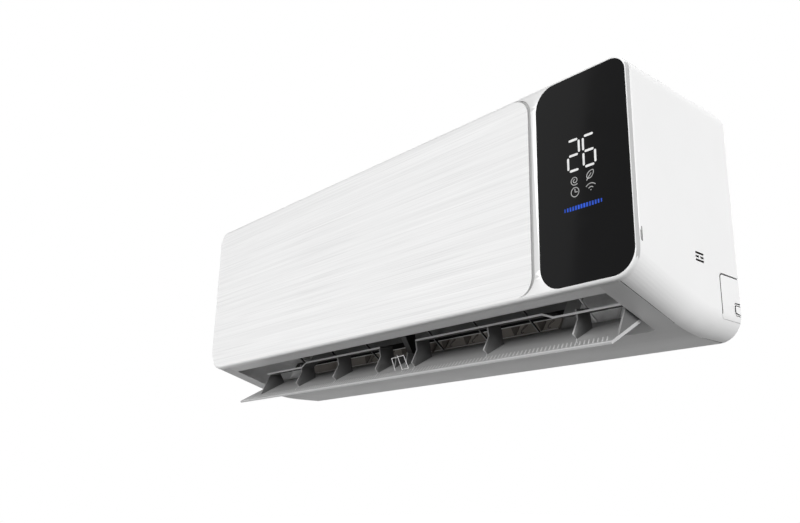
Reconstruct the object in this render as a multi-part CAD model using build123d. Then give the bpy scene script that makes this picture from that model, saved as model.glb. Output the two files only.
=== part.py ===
from build123d import *
import math
import os

# Wall-hung indoor unit of a split air conditioner, in millimetres.
# Lengths "behind" are measured from the front face towards the wall; heights are measured from
# the casing's flat underside. The finished pieces are moved so that the origin is the centre of
# the wall plate's rear face: +X to the right of a viewer in front, +Y into the wall, +Z up.

# ---- casing
WIDTH = 880.0
HEIGHT = 289.0
DEPTH = 207.4
WALL = 2.5
TOP_EDGE_RADIUS = 21.0
BOTTOM_EDGE_RADIUS = 30.0
SLANT_HEIGHT = 40.4          # where the slanted underside would meet the front face
SLANT = math.radians(17.07)  # fall of the underside towards the wall
BELLY_RADIUS = 200.0
SEAM_INSET = 25.0
SEAM_X = WIDTH / 2 - SEAM_INSET
FIT = 0.3                    # gap between neighbouring fixed mouldings
FRONT_WALL_BEHIND = 9.5
FRONT_WALL_TOP = HEIGHT - 17.0

# ---- front cover and what it carries
COVER_DEPTH = 7.0
COVER_GAP = 0.3
COVER_SIDE_INSET = 0.6
COVER_TOP_INSET = 3.2
COVER_BOTTOM_INSET = 4.1
BEZEL = 0.5
SKIN_DEPTH = 2.4
SKIN_THICKNESS = 2.2
SKIN_FIT = 0.15
COVER_WALL = 2.2
GROOVE_X = WIDTH / 2 - 133.7
GROOVE_WIDTH = 4.7
PANEL_CORNER = 22.0
GLASS_X = GROOVE_X + 7.7
GLASS_CORNER = 27.0
HINGE_BEHIND = 10.0
HINGE_HEIGHT = HEIGHT - 7.5
HINGE_X = WIDTH / 2 - 71.0
HINGE_RELIEF_INSET = 8.0
HINGE_PIN_RADIUS = 2.0
EAR_RADIUS = 4.2
EAR_THICKNESS = 4.0
KNUCKLE_RADIUS = 4.3
ROLLED_LIP_WIDTH = 2.0
RUNNING_GAP = 0.05
DISPLAY_X = (WIDTH / 2 - 97.0, WIDTH / 2 - 23.0)
DISPLAY_HEIGHTS = (118.0, 236.0)
BUTTON_X = WIDTH / 2 - 60.0
BUTTON_HEIGHT = 78.0
BUTTON_RADIUS = 4.0
BUTTON_FLANGE_RADIUS = 6.0
BUTTON_TRAVEL = 2.0
SCREW_X = WIDTH / 2 - 45.0
SCREW_HEIGHT = 60.0
SCREW_RADIUS = 1.9
SCREW_HEAD_RADIUS = 4.0

# ---- air outlet
RECESS_X = WIDTH / 2 - 55.0
OUTLET_REAR = 112.0
OUTLET_RISE = math.radians(62.6)
THROAT_LEFT = 99.0 - WIDTH / 2
THROAT_RIGHT = WIDTH / 2 - 115.0
THROAT_TIP = (76.0, 84.0)
LIP_EDGE = 21.8
LIP_REBATE = 4.7
RECESS_CEILING = 61.0
FLOOR_JOINT = 22.0

# ---- louver, drawn open
LOUVER_FRONT = (31.3, -19.2)
LOUVER_OPEN = math.radians(29.24)
LOUVER_PIVOT_ALONG = 67.8
LOUVER_PIVOT_RISE = 4.2
LOUVER_THICKNESS = 3.6
LOUVER_TAIL = 22.5
LOUVER_END_GAP = 2.0
LOUVER_PIN_RADIUS = 2.2
HOOK_RADIUS = 3.9
MOTOR_BOSS_RADIUS = 3.2
RIB_THICKNESS = 2.4
BLADE_GAP = (-39.0, 41.0)
RIB_XS = (142.0 - RECESS_X, 243.0 - RECESS_X, *BLADE_GAP, RECESS_X - 207.0, RECESS_X - 67.0)
PLATE_XS = (42.0 - RECESS_X, RECESS_X - LOUVER_END_GAP - RIB_THICKNESS / 2)
UPPER_BLADE_THICKNESS = 2.6
UPPER_BLADE_CHORD = 24.0
UPPER_BLADE_DROP = 6.2

# ---- guide vanes
VANE_FIRST = 27.0
VANE_END_ROOM = 26.5
VANES_PER_SIDE = 4
VANE_PITCH = (THROAT_RIGHT - VANE_FIRST - VANE_END_ROOM) / (VANES_PER_SIDE - 1)
VANE_THICKNESS = 1.8
VANE_PIN_RADIUS = 2.0
VANE_SPAN = 56.0
VANE_PIVOT_ALONG = 36.0
RAIL_START = 22.5
RAIL_LENGTH = 27.0
RAIL_THICKNESS = 4.0
LINK_OFFSET = 8.0
LINK_WIDTH = 7.0
LINK_THICKNESS = 3.0
PEG_RADIUS = 1.5

# ---- fan
FAN_BEHIND = 112.0
FAN_HEIGHT = 122.0
FAN_RADIUS = 46.0
FAN_BLADES = 24
FAN_SECTIONS = 4
FAN_BLADE_DEPTH = 12.3
FAN_BLADE_SWEEP = 13.0
FAN_BLADE_THICKNESS = 1.0
FAN_DISC_THICKNESS = 3.0
FAN_END_GAP = 3.0
SHAFT_RADIUS = 4.0
BEARING_RADIUS = 10.0
MOTOR_RADIUS = 40.0
MOTOR_LENGTH = 58.0
MOTOR_X = THROAT_RIGHT + 8.0
CLAMP_X = (MOTOR_X + 9.0, MOTOR_X + 27.0)
CLAMP_THICKNESS = 3.0

# ---- evaporator
COIL_THICKNESS = 26.0
COIL_LEFT = THROAT_LEFT - 1.0
COIL_RIGHT = THROAT_RIGHT - 4.0
SHEET_THICKNESS = 1.5
TUBE_RADIUS = 3.5
TUBE_PITCH = 21.0
COIL_FOOT = (30.0, 84.0)      # outer lower corner of the front pack
COIL_BEND = (30.5, HEIGHT - 105.0)     # outer corner where the upper pack starts
COIL_PEAK = (96.0, HEIGHT - 27.0)
COIL_REAR_PEAK = (138.0, HEIGHT - 27.0)
COIL_REAR_FOOT = (DEPTH - 21.4, 201.0)
COIL_REAR_LENGTH = math.dist(COIL_REAR_PEAK, COIL_REAR_FOOT)
COIL_JOINT = 1.3
DRAIN_PAN_FLOOR = 72.0
BEND_STARTS = ((0, 10.5), (0, 52.5), (1, 15.0), (1, 57.0), (2, 10.0))
GAS_RADIUS = 6.35
LIQUID_RADIUS = 3.2
HOSE_RADIUS = 5.5
PIPE_BEND = 14.0
HOSE_BEND = 10.0
PIPE_END_X = 100.0
GAS_X = THROAT_RIGHT + 50.0
LIQUID_X = THROAT_RIGHT + 73.0
GAS_HEIGHT = 45.0
LIQUID_HEIGHT = 30.0
HOSE_X = THROAT_RIGHT + 20.0
HOSE_BEHIND = DEPTH - 55.8
HOSE_HEIGHT = 18.0
HOSE_BORE_RADIUS = 4.0
HOSE_BORE_LENGTH = 12.0
HOSE_END_BEHIND = DEPTH - 15.4

# ---- top inlet and filters
INLET_LEFT = 30.0 - WIDTH / 2
INLET_RIGHT = WIDTH / 2 - 110.0
INLET_FRONT = 38.0
INLET_REAR = DEPTH - 21.4
INLET_RECESS = 10.0
FILTER_GAP = 0.5
FILTER_HEIGHT = 6.0
FILTER_BAR = 5.0

# ---- wall plate and rear
PLATE_WIDTH = 620.0
PLATE_HEIGHT = 206.0
PLATE_THICKNESS = 1.5
PLATE_CENTRE = 150.0
PLATE_HOLES = (450.0, 160.0)
PLATE_HOLE_RADIUS = 2.6
HOOK_X = 180.0
CHASSIS_BACK = DEPTH - 8.4
CHASSIS_X = WIDTH / 2 - 28.0
SCROLL_WALL = 3.5
END_PLATE = 3.0
CHANNEL_TOP = 61.5
BOX_X = (WIDTH / 2 - 105.0, WIDTH / 2 - 12.0)
BOX_BEHIND = (22.0, DEPTH - 57.4)
BOX_HEIGHTS = (182.0, HEIGHT - 21.0)


def side(points, rounds=()):
    """Side-view outline from (behind, height) points, with chosen corners rounded."""
    outline = Polygon(*[(d - DEPTH, z) for d, z in points], align=None)
    for (d, z), radius in rounds:
        corner = outline.vertices().sort_by_distance(Vector(d - DEPTH, z))[0]
        outline = fillet(corner, radius)
    return outline


def disc(behind, height, radius):
    """Side-view circle."""
    return Pos(behind - DEPTH, height) * Circle(radius)


def across(outline, x0, x1):
    """Side-view outline extruded between two planes across the unit."""
    return extrude(Plane.YZ.offset(x0) * outline, amount=x1 - x0, dir=(1, 0, 0))


def facing(outline, behind0, behind1):
    """Front-view (x, height) outline extruded from one depth behind the front to another."""
    plane = Plane(origin=(0, behind0 - DEPTH, 0), x_dir=(1, 0, 0), z_dir=(0, -1, 0))
    return extrude(plane * outline, amount=behind1 - behind0, dir=(0, 1, 0))


def block(x0, x1, behind0, behind1, z0, z1):
    """Box between its limits."""
    centre = ((x0 + x1) / 2, (behind0 + behind1) / 2 - DEPTH, (z0 + z1) / 2)
    return Pos(*centre) * Box(x1 - x0, behind1 - behind0, z1 - z0)


def rounded(x0, x1, z0, z1, radii):
    """Front-view rectangle with a radius for each corner: low left, low right, high right, high left."""
    corners = ((x0, z0), (x1, z0), (x1, z1), (x0, z1))
    outline = Polygon(*corners, align=None)
    for corner, radius in zip(corners, radii):
        vertex = outline.vertices().sort_by_distance(Vector(*corner))[0]
        outline = fillet(vertex, radius)
    return outline


def toward(start, end, distance):
    """Point a distance from start on the way to end."""
    span = math.dist(start, end)
    return tuple(a + (b - a) * distance / span for a, b in zip(start, end))


# ------------------------------------------------------------------ casing

def underside(behind, inset=0.0):
    """Height of the slanted underside, or of its inner face a wall thickness in."""
    return SLANT_HEIGHT - math.tan(SLANT) * behind + inset / math.cos(SLANT)


def casing_solid(inset):
    """Outer form of the casing as one closed solid, drawn in by a wall thickness."""
    half = WIDTH / 2 - inset
    top = HEIGHT - inset
    knee = (underside(0, inset) - inset) / math.tan(SLANT)
    corners = [(0, underside(0, inset)), (knee, inset), (DEPTH, inset), (DEPTH, top), (0, top)]
    solid = across(side(corners, [((knee, inset), BELLY_RADIUS - inset)]), -half, half)
    sides = [e for e in solid.edges() if abs(abs(e.center().X) - half) < 0.01]
    low = [e for e in sides if e.center().Z < SLANT_HEIGHT + inset]
    solid = fillet(low, BOTTOM_EDGE_RADIUS - inset)
    high = [e for e in solid.edges()
            if abs(abs(e.center().X) - half) < 0.01 and e.center().Z > top - 1]
    return fillet(high, TOP_EDGE_RADIUS - inset)


def rim_inset(depth_share):
    """How far the cover's rounded rim has drawn in at the top, at a share of the cover's depth."""
    return COVER_TOP_INSET * (1 - math.sqrt(1 - (1 - depth_share) ** 2))


def hinge_relief():
    """Space that the cover's top edge turns through."""
    reach = COVER_GAP + max(math.hypot(HINGE_BEHIND - share * COVER_DEPTH,
                                       HEIGHT - rim_inset(share) - HINGE_HEIGHT)
                            for share in (0.6, 1.0))
    flank = WIDTH / 2 - HINGE_RELIEF_INSET
    relief = across(disc(HINGE_BEHIND, HINGE_HEIGHT, reach), -flank, flank)
    for x0, x1 in ((-WIDTH / 2 - 1, -flank), (flank, WIDTH / 2 + 1)):
        relief += across(disc(HINGE_BEHIND, HINGE_HEIGHT, KNUCKLE_RADIUS + COVER_GAP), x0, x1)
    return relief


def hinge_ears():
    """Two bored ears that carry the cover's pins."""
    ears = Part()
    neck = side([(HINGE_BEHIND - 2, FRONT_WALL_TOP - 4), (HINGE_BEHIND + 2, FRONT_WALL_TOP - 4),
                 (HINGE_BEHIND + 2, HINGE_HEIGHT), (HINGE_BEHIND - 2, HINGE_HEIGHT)])
    ear = neck + disc(HINGE_BEHIND, HINGE_HEIGHT, EAR_RADIUS)
    ear -= disc(HINGE_BEHIND, HINGE_HEIGHT, HINGE_PIN_RADIUS + RUNNING_GAP)
    for sign in (-1, 1):
        near = sign * (HINGE_X + COVER_GAP)
        far = near + sign * EAR_THICKNESS
        ears += across(ear, min(near, far), max(near, far))
    return ears


def inlet_grille():
    """Recessed floor of the top inlet with its slots, and the walls round it."""
    top = HEIGHT - 0.01
    floor = HEIGHT - INLET_RECESS
    tray = block(INLET_LEFT - WALL, INLET_RIGHT + WALL, INLET_FRONT - WALL, INLET_REAR + WALL,
                 floor - WALL, top)
    tray -= block(INLET_LEFT, INLET_RIGHT, INLET_FRONT, INLET_REAR, floor, top + 1)
    columns, rows = 10, 8
    pitch_x = (INLET_RIGHT - INLET_LEFT) / columns
    pitch_d = (INLET_REAR - INLET_FRONT) / rows
    slots = []
    for column in range(columns):
        for row in range(rows):
            x = INLET_LEFT + column * pitch_x
            d = INLET_FRONT + row * pitch_d
            slots.append(block(x + 4, x + pitch_x - 4, d + 3, d + pitch_d - 3,
                               floor - WALL - 1, floor + 1))
    return tray - slots


def corner_cutter(inset):
    """Side-view outline of the pipe cover at the lower rear corner."""
    front, low, high = DEPTH - 43.4 + inset, 19.6 + inset, 73.0 - inset
    return side([(front, low), (DEPTH + 5, low), (DEPTH + 5, high), (front, high)],
                [((front, low), 6.0), ((front, high), 6.0)])


def knock_out():
    """Score line of the knock-out in the pipe cover."""
    front = DEPTH - 13.4
    outline = side([(front, 28), (DEPTH + 5, 28), (DEPTH + 5, 41), (front, 41)],
                   [((front, 28), 4.0), ((front, 41), 4.0)])
    inner = side([(front + 1, 29), (DEPTH + 6, 29), (DEPTH + 6, 40), (front + 1, 40)],
                 [((front + 1, 29), 3.2), ((front + 1, 40), 3.2)])
    return outline - inner


def side_slots():
    """Three rows of slots for the room sensor and the narrow slit near the front."""
    slots = []
    for row, spans in enumerate((((115, 132),), ((115, 122), (125, 132)), ((115, 132),))):
        low = 77.0 + row * 4.2
        slots += [block(WIDTH / 2 - 5, WIDTH / 2 + 1, d0, d1, low, low + 2.4) for d0, d1 in spans]
    slots.append(block(WIDTH / 2 - 5, WIDTH / 2 + 1, 9.6, 10.8, 77.0, 88.0))
    return slots


def front_wall():
    """Wall behind the cover with the two coil windows and the button's hole."""
    half = WIDTH / 2 - WALL
    low = underside(FRONT_WALL_BEHIND, WALL) + 1.0
    wall = facing(rounded(-half, half, low, FRONT_WALL_TOP,
                          (BOTTOM_EDGE_RADIUS - WALL, BOTTOM_EDGE_RADIUS - WALL, 2, 2)),
                  FRONT_WALL_BEHIND, FRONT_WALL_BEHIND + WALL)
    for x0, x1 in ((36.0 - WIDTH / 2, -36.0), (-28.0, WIDTH / 2 - 118.0)):
        wall -= facing(rounded(x0, x1, 74, FRONT_WALL_TOP - 16, (8, 8, 8, 8)), 0, 20)
    back = FRONT_WALL_BEHIND + WALL
    button = Pos(BUTTON_X, BUTTON_HEIGHT)
    wall += facing(button * Circle(BUTTON_FLANGE_RADIUS + 2.3), back - 1, back + 14)
    wall -= facing(button * Circle(BUTTON_FLANGE_RADIUS + FIT), back, back + 12)
    wall -= facing(button * Circle(BUTTON_RADIUS + FIT), 0, 20)
    for sign in (-1, 1):
        wall -= facing(Pos(sign * SCREW_X, SCREW_HEIGHT) * Circle(SCREW_RADIUS + FIT), 0, 20)
    return wall


def outer_frame():
    """Casing moulding: sides, top with the inlet, front wall and hinge ears."""
    shell = casing_solid(0) - casing_solid(WALL)
    shell -= block(-WIDTH, WIDTH, -1, COVER_DEPTH + COVER_GAP, -1, HEIGHT + 1)
    shell -= block(-SEAM_X, SEAM_X, -1, DEPTH + 1, -1, SLANT_HEIGHT + WALL)
    shell -= block(INLET_LEFT, INLET_RIGHT, INLET_FRONT, INLET_REAR, HEIGHT - WALL - 1, HEIGHT + 1)
    shell -= hinge_relief()
    shell += front_wall()
    shell += hinge_ears()
    shell += inlet_grille()
    for x0, x1 in ((-WIDTH / 2 - 1, -SEAM_X - 5), (SEAM_X + 5, WIDTH / 2 + 1)):
        shell -= across(corner_cutter(0), x0, x1)
    return shell - side_slots()


def pipe_cover(sign):
    """Pull-off corner of the side, through which the pipes may leave."""
    x0, x1 = sorted((sign * (SEAM_X + 5), sign * (WIDTH / 2 + 1)))
    skin = casing_solid(0) - casing_solid(WALL)
    cover = skin & across(corner_cutter(FIT), x0, x1)
    outside = sign * (WIDTH / 2 - 0.6)
    x0, x1 = sorted((outside, sign * (WIDTH / 2 + 1)))
    return cover - across(knock_out(), x0, x1)


# ------------------------------------------------------------------ front cover

def cover_outline(share, inset=0.0):
    """Front-view outline of the cover, drawn in by a share of its rounded rim and by an inset."""
    half = WIDTH / 2 - COVER_SIDE_INSET * share - inset
    low = underside(COVER_DEPTH) + COVER_BOTTOM_INSET * share + inset
    high = HEIGHT - COVER_TOP_INSET * share - inset
    bottom = BOTTOM_EDGE_RADIUS - 1.5 * share - inset
    top = TOP_EDGE_RADIUS - 1.5 * share - inset
    return rounded(-half, half, low, high, (bottom, bottom, top, top))


def skin_outline(x0, x1, corner, fit):
    """Front-view outline of a front skin or of its seat, which follows the cover's outline."""
    outline = cover_outline(1.0, BEZEL + fit)
    low = outline.bounding_box().min.Y
    high = outline.bounding_box().max.Y
    left, right = x0 < 0, x1 > GLASS_X
    window = rounded(x0 + (-9 if left else fit), x1 + (9 if right else -fit), low, high,
                     (0.5 if left else corner, 0.5 if right else corner,
                      0.5 if right else corner, 0.5 if left else corner))
    return outline & window


def front_cover():
    """Hinged front carrier with a rounded rim, skin seats, pins and rolled lip."""
    sections = []
    for depth_share in (0.0, 0.1, 0.3, 0.6, 1.0):
        share = 1 - math.sqrt(1 - (1 - depth_share) ** 2)
        plane = Plane(origin=(0, depth_share * COVER_DEPTH - DEPTH, 0),
                      x_dir=(1, 0, 0), z_dir=(0, -1, 0))
        sections.append(plane * cover_outline(share))
    cover = loft(sections, ruled=True)
    cover -= facing(skin_outline(-WIDTH / 2, GROOVE_X, PANEL_CORNER, 0), -1, SKIN_DEPTH)
    cover -= facing(skin_outline(GLASS_X, WIDTH / 2, GLASS_CORNER, 0), -1, SKIN_DEPTH)
    cover -= facing(cover_outline(0.3, COVER_WALL), SKIN_DEPTH + COVER_WALL, COVER_DEPTH + 1)
    cover -= facing(rounded(DISPLAY_X[0] + 6, DISPLAY_X[1] - 6, DISPLAY_HEIGHTS[0] + 6,
                            DISPLAY_HEIGHTS[1] - 6, (3, 3, 3, 3)), 0, COVER_DEPTH)
    cover += cover_ribs()
    cover += rolled_lip()
    return cover + cover_pins()


def cover_ribs():
    """Stiffening ribs behind the brushed panel."""
    back = SKIN_DEPTH + COVER_WALL
    x0, x1 = 40.0 - WIDTH / 2, GROOVE_X - 10.3
    pitch = (x1 - x0) / 7
    ribs = [block(x0 + k * pitch - 0.8, x0 + k * pitch + 0.8, back - 0.2, COVER_DEPTH, 50, HEIGHT - 21)
            for k in range(8)]
    ribs += [block(x0, x1, back - 0.2, COVER_DEPTH, z - 0.8, z + 0.8) for z in (90.0, 160.0, 230.0)]
    return ribs


def rolled_lip():
    """Lip along the cover's top edge, round the hinge axis, that closes the gap to the casing."""
    outer = HEIGHT - HINGE_HEIGHT - 0.2
    ring = disc(HINGE_BEHIND, HINGE_HEIGHT, outer)
    ring -= disc(HINGE_BEHIND, HINGE_HEIGHT, outer - ROLLED_LIP_WIDTH)
    wedge = [(HINGE_BEHIND, HINGE_HEIGHT)]
    for angle in (35, 80, 128):
        turn = math.radians(angle)
        wedge.append((HINGE_BEHIND + 20 * math.cos(turn), HINGE_HEIGHT + 20 * math.sin(turn)))
    reach = WIDTH / 2 - HINGE_RELIEF_INSET - COVER_GAP
    lip = across(ring & side(wedge), -reach, reach)
    knuckle = disc(HINGE_BEHIND, HINGE_HEIGHT, KNUCKLE_RADIUS)
    for x0, x1 in ((reach - 4, WIDTH / 2 - COVER_GAP), (COVER_GAP - WIDTH / 2, 4 - reach)):
        lip += across(knuckle, x0, x1)
    return lip & casing_solid(0)


def cover_pins():
    """Lugs behind the cover with the pins that turn in the casing's ears."""
    lug = side([(SKIN_DEPTH + COVER_WALL - 0.2, HINGE_HEIGHT - EAR_RADIUS),
                (HINGE_BEHIND, HINGE_HEIGHT - EAR_RADIUS),
                (HINGE_BEHIND, HINGE_HEIGHT + EAR_RADIUS),
                (SKIN_DEPTH + COVER_WALL - 0.2, HINGE_HEIGHT + EAR_RADIUS)])
    lug += disc(HINGE_BEHIND, HINGE_HEIGHT, EAR_RADIUS)
    pins = Part()
    for sign in (-1, 1):
        x0, x1 = sorted((sign * (HINGE_X - EAR_THICKNESS), sign * HINGE_X))
        pins += across(lug, x0, x1)
        x0, x1 = sorted((sign * (HINGE_X - 1), sign * (HINGE_X + COVER_GAP + EAR_THICKNESS + 1)))
        pins += across(disc(HINGE_BEHIND, HINGE_HEIGHT, HINGE_PIN_RADIUS), x0, x1)
    return pins


def brushed_panel():
    """Brushed white skin on the left of the cover; the groove lies beyond its right edge."""
    outline = skin_outline(-WIDTH / 2, GROOVE_X - GROOVE_WIDTH, PANEL_CORNER, SKIN_FIT)
    return facing(outline, SKIN_DEPTH - SKIN_THICKNESS, SKIN_DEPTH)


def display_glass():
    """Black glass on the right of the cover."""
    outline = skin_outline(GLASS_X, WIDTH / 2, GLASS_CORNER, SKIN_FIT)
    return facing(outline, SKIN_DEPTH - SKIN_THICKNESS, SKIN_DEPTH)


def display_board():
    """Board with its light bars in the window behind the glass."""
    back = SKIN_DEPTH + COVER_WALL
    board = block(*DISPLAY_X, back, back + 1.6, *DISPLAY_HEIGHTS)
    middle = (DISPLAY_X[0] + DISPLAY_X[1]) / 2 - 2
    for x, z in ((middle - 13, 205), (middle + 14, 205), (middle - 13, 186), (middle + 14, 186),
                 (middle, 158), (middle, 142)):
        board += block(x - 10, x + 10, SKIN_DEPTH + 0.1, back + 0.5, z - 6, z + 6)
    return board


# ------------------------------------------------------------------ underside and air outlet

def outlet_floor(along, rise=0.0):
    """Point along the outlet's rear wall from its lower edge, and a distance into the duct."""
    ahead, up = math.cos(OUTLET_RISE), math.sin(OUTLET_RISE)
    low = underside(OUTLET_REAR)
    return (OUTLET_REAR + along * ahead - rise * up, low + along * up + rise * ahead)


def floor_at(height):
    """Point of the outlet's rear wall at a height."""
    return outlet_floor((height - underside(OUTLET_REAR)) / math.sin(OUTLET_RISE))


def lip_corner():
    """Rear edge of the slanted lip in front of the louver."""
    return (LIP_EDGE, underside(LIP_EDGE))


def recess_outline():
    """Side view of the space that the louver turns in."""
    lip = lip_corner()
    rebate = (lip[0] + LIP_REBATE * math.sin(SLANT), lip[1] + LIP_REBATE * math.cos(SLANT))
    inner = (rebate[0] + 4.0, rebate[1])
    share = (RECESS_CEILING - inner[1]) / (THROAT_TIP[1] - inner[1])
    knee = (inner[0] + share * (THROAT_TIP[0] - inner[0]), RECESS_CEILING)
    return [(lip[0], -30), lip, rebate, inner, knee, floor_at(RECESS_CEILING),
            floor_at(underside(OUTLET_REAR)), (OUTLET_REAR, -30)]


def throat_outline():
    """Side view of the duct between the louver and the fan."""
    knee = recess_outline()[4]
    return [knee, THROAT_TIP, (THROAT_TIP[0], 110), floor_at(110), floor_at(20), (60, 20)]


def outlet_housing():
    """Underside with the louver recess, throat walls and stabiliser edge."""
    skin = casing_solid(0) - casing_solid(WALL)
    zone = block(-SEAM_X + FIT, SEAM_X - FIT, COVER_DEPTH + COVER_GAP, DEPTH - 0.5,
                 -1, SLANT_HEIGHT + WALL)
    housing = skin & zone
    recess = side(recess_outline())
    box = across(offset(recess, WALL), -RECESS_X - WALL, RECESS_X + WALL)
    housing += box & casing_solid(0)
    low = underside(LIP_EDGE) + 5.0
    guard = side([(LIP_EDGE + 9.0, low), (THROAT_TIP[0] + 1, THROAT_TIP[1] - 1.2),
                  (THROAT_TIP[0] - 3.4, THROAT_TIP[1] + 2.2), (LIP_EDGE + 2.0, low)])
    housing += across(guard, THROAT_LEFT - WALL, THROAT_RIGHT + WALL)
    seat = DRAIN_PAN_FLOOR - FIT
    prop = side([(32, 46), (54, 66), (54, seat), (32, seat)])
    for x in (-250.0, 0.0, 250.0):
        housing += across(prop, x - 1.2, x + 1.2)
    back = FRONT_WALL_BEHIND + WALL + FIT
    for sign in (-1, 1):
        x0, x1 = sorted((sign * (SCREW_X - 7), sign * (SCREW_X + 7)))
        housing += block(x0, x1, back, back + WALL, SLANT_HEIGHT - 3.5, SCREW_HEIGHT + 6)
    cheek = side([(50, 58), THROAT_TIP, (THROAT_TIP[0] + 6, 74), floor_at(70), floor_at(50)])
    for x0 in (THROAT_LEFT - WALL, THROAT_RIGHT):
        housing += across(cheek, x0, x0 + WALL)
    housing -= across(recess, -RECESS_X, RECESS_X)
    housing -= across(side(throat_outline()), THROAT_LEFT, THROAT_RIGHT)
    housing -= across(side([floor_at(FLOOR_JOINT), (OUTLET_REAR + 60, FLOOR_JOINT),
                            (OUTLET_REAR + 60, 120), (OUTLET_REAR - 30, 120),
                            (OUTLET_REAR - 30, 76), floor_at(FLOOR_JOINT + 1)]),
                      THROAT_LEFT - WALL - 1, THROAT_RIGHT + WALL + 1)
    pivot = louver_pivot()
    housing -= across(disc(*pivot, LOUVER_PIN_RADIUS + RUNNING_GAP), -RECESS_X - 10, RECESS_X + 10)
    housing -= across(disc(*pivot, MOTOR_BOSS_RADIUS + FIT), RECESS_X + WALL, RECESS_X + WALL + 16)
    for sign in (-1, 1):
        housing -= facing(Pos(sign * SCREW_X, SCREW_HEIGHT) * Circle(SCREW_RADIUS + RUNNING_GAP), 8, 20)
    return housing


# ------------------------------------------------------------------ louver

def on_louver(along, rise):
    """Point of the open louver: along from its front edge, and above its outer face."""
    turn = LOUVER_OPEN
    return (LOUVER_FRONT[0] + along * math.cos(turn) - rise * math.sin(turn),
            LOUVER_FRONT[1] + along * math.sin(turn) + rise * math.cos(turn))


def louver_pivot():
    """Axis on which the louver turns, in the side view."""
    return on_louver(LOUVER_PIVOT_ALONG, LOUVER_PIVOT_RISE)


def rib_outline():
    """Side view of the upright ribs between the louver's two blades."""
    foot_front = on_louver(29.5, LOUVER_THICKNESS - 0.3)
    foot_rear = on_louver(63.5, LOUVER_THICKNESS - 0.3)
    return [(56.0, 33.0), (58.5, 22.0), (49.0, 3.0), foot_front, foot_rear, (80.0, 37.5)]


def main_louver():
    """Lower blade with its ribs, slanted plates, pivot bosses and pins."""
    end = RECESS_X - LOUVER_END_GAP
    length = LOUVER_PIVOT_ALONG + LOUVER_TAIL
    blade = side([on_louver(0, 0.6), on_louver(1.2, 0), on_louver(length, 0),
                  on_louver(length, LOUVER_THICKNESS - 1.4), on_louver(length - 14, LOUVER_THICKNESS),
                  on_louver(1.2, LOUVER_THICKNESS), on_louver(0, LOUVER_THICKNESS - 0.8)])
    louver = across(blade, -end, end)
    for x in RIB_XS:
        louver += across(side(rib_outline()), x - RIB_THICKNESS / 2, x + RIB_THICKNESS / 2)
    plate = side([(61.0, 27.3), on_louver(16.5, LOUVER_THICKNESS - 0.3),
                  on_louver(LOUVER_PIVOT_ALONG, LOUVER_THICKNESS - 0.3), (80.0, 31.0)])
    for x in PLATE_XS:
        louver += across(plate, x - RIB_THICKNESS / 2, x + RIB_THICKNESS / 2)
    pivot = louver_pivot()
    for sign in (-1, 1):
        x0, x1 = sorted((sign * (end - 6), sign * end))
        louver += across(disc(*pivot, LOUVER_PIVOT_RISE), x0, x1)
    louver += across(disc(*pivot, LOUVER_PIN_RADIUS), -end - 6.5, -end + 1)
    louver += across(disc(*pivot, LOUVER_PIN_RADIUS), end - 1, end + 12.5)
    louver -= across(disc(*pivot, HOOK_RADIUS + 0.5), -6.5, 6.5)
    return louver + centre_bracket()


def centre_bracket():
    """Pair of lugs and a cross pin that the fixed centre arm hooks round."""
    pivot = louver_pivot()
    lug = side([on_louver(LOUVER_PIVOT_ALONG - 30, LOUVER_THICKNESS - 0.3),
                on_louver(LOUVER_PIVOT_ALONG + 6, LOUVER_THICKNESS - 0.3),
                (pivot[0] + 1.5, pivot[1] + 4.5), (pivot[0] - 22, pivot[1] + 4.5)])
    bracket = Part()
    for x in (-12.0, 12.0):
        bracket += across(lug, x - 1, x + 1)
    return bracket + across(disc(*pivot, LOUVER_PIN_RADIUS), -12, 12)


def upper_blade(x0, x1):
    """One length of the upper louver blade, raised in its middle part, seated on the ribs."""
    high = 33.3
    low = high - UPPER_BLADE_DROP
    rise = math.radians(10.6)
    reach = RECESS_X
    path = [(-reach, low), (145 - reach, low), (158 - reach, high), (reach - 117, high),
            (reach - 100, low), (reach, low)]
    outline = Polygon(*path, *[(x, z + UPPER_BLADE_THICKNESS) for x, z in reversed(path)],
                      align=None)
    plane = Plane(origin=(0, 56.0 - DEPTH, 0), x_dir=(1, 0, 0), z_dir=(0, -1, 0))
    blade = extrude(plane * outline, amount=UPPER_BLADE_CHORD,
                    dir=(0, math.cos(rise), math.sin(rise)))
    blade &= block(x0, x1, 0, DEPTH, 0, 100)
    return blade - main_louver()


def upper_blade_left():
    """Upper blade from the left plate to the middle gap."""
    return upper_blade(PLATE_XS[0] - RIB_THICKNESS / 2, BLADE_GAP[0] + RIB_THICKNESS / 2)


def upper_blade_right():
    """Upper blade from the middle gap to the right plate."""
    return upper_blade(BLADE_GAP[1] - RIB_THICKNESS / 2, PLATE_XS[1] - RIB_THICKNESS / 2 - FIT)


def louver_support():
    """Fixed arm from the throat's front wall, with an eye round the louver's cross pin."""
    pivot = louver_pivot()
    knee = recess_outline()[4]
    root = [toward(knee, THROAT_TIP, 6), toward(knee, THROAT_TIP, 26)]
    root = [(d + FIT, z - FIT) for d, z in root]
    arm = side([(pivot[0] - 3.4, pivot[1] + 1.5), (pivot[0] + 2.8, pivot[1] + 1.8),
                (THROAT_TIP[0] + 7, THROAT_TIP[1] - 16), root[1], root[0]])
    shape = disc(*pivot, HOOK_RADIUS) + arm - disc(*pivot, LOUVER_PIN_RADIUS + RUNNING_GAP)
    return across(shape, -5, 5)


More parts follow.
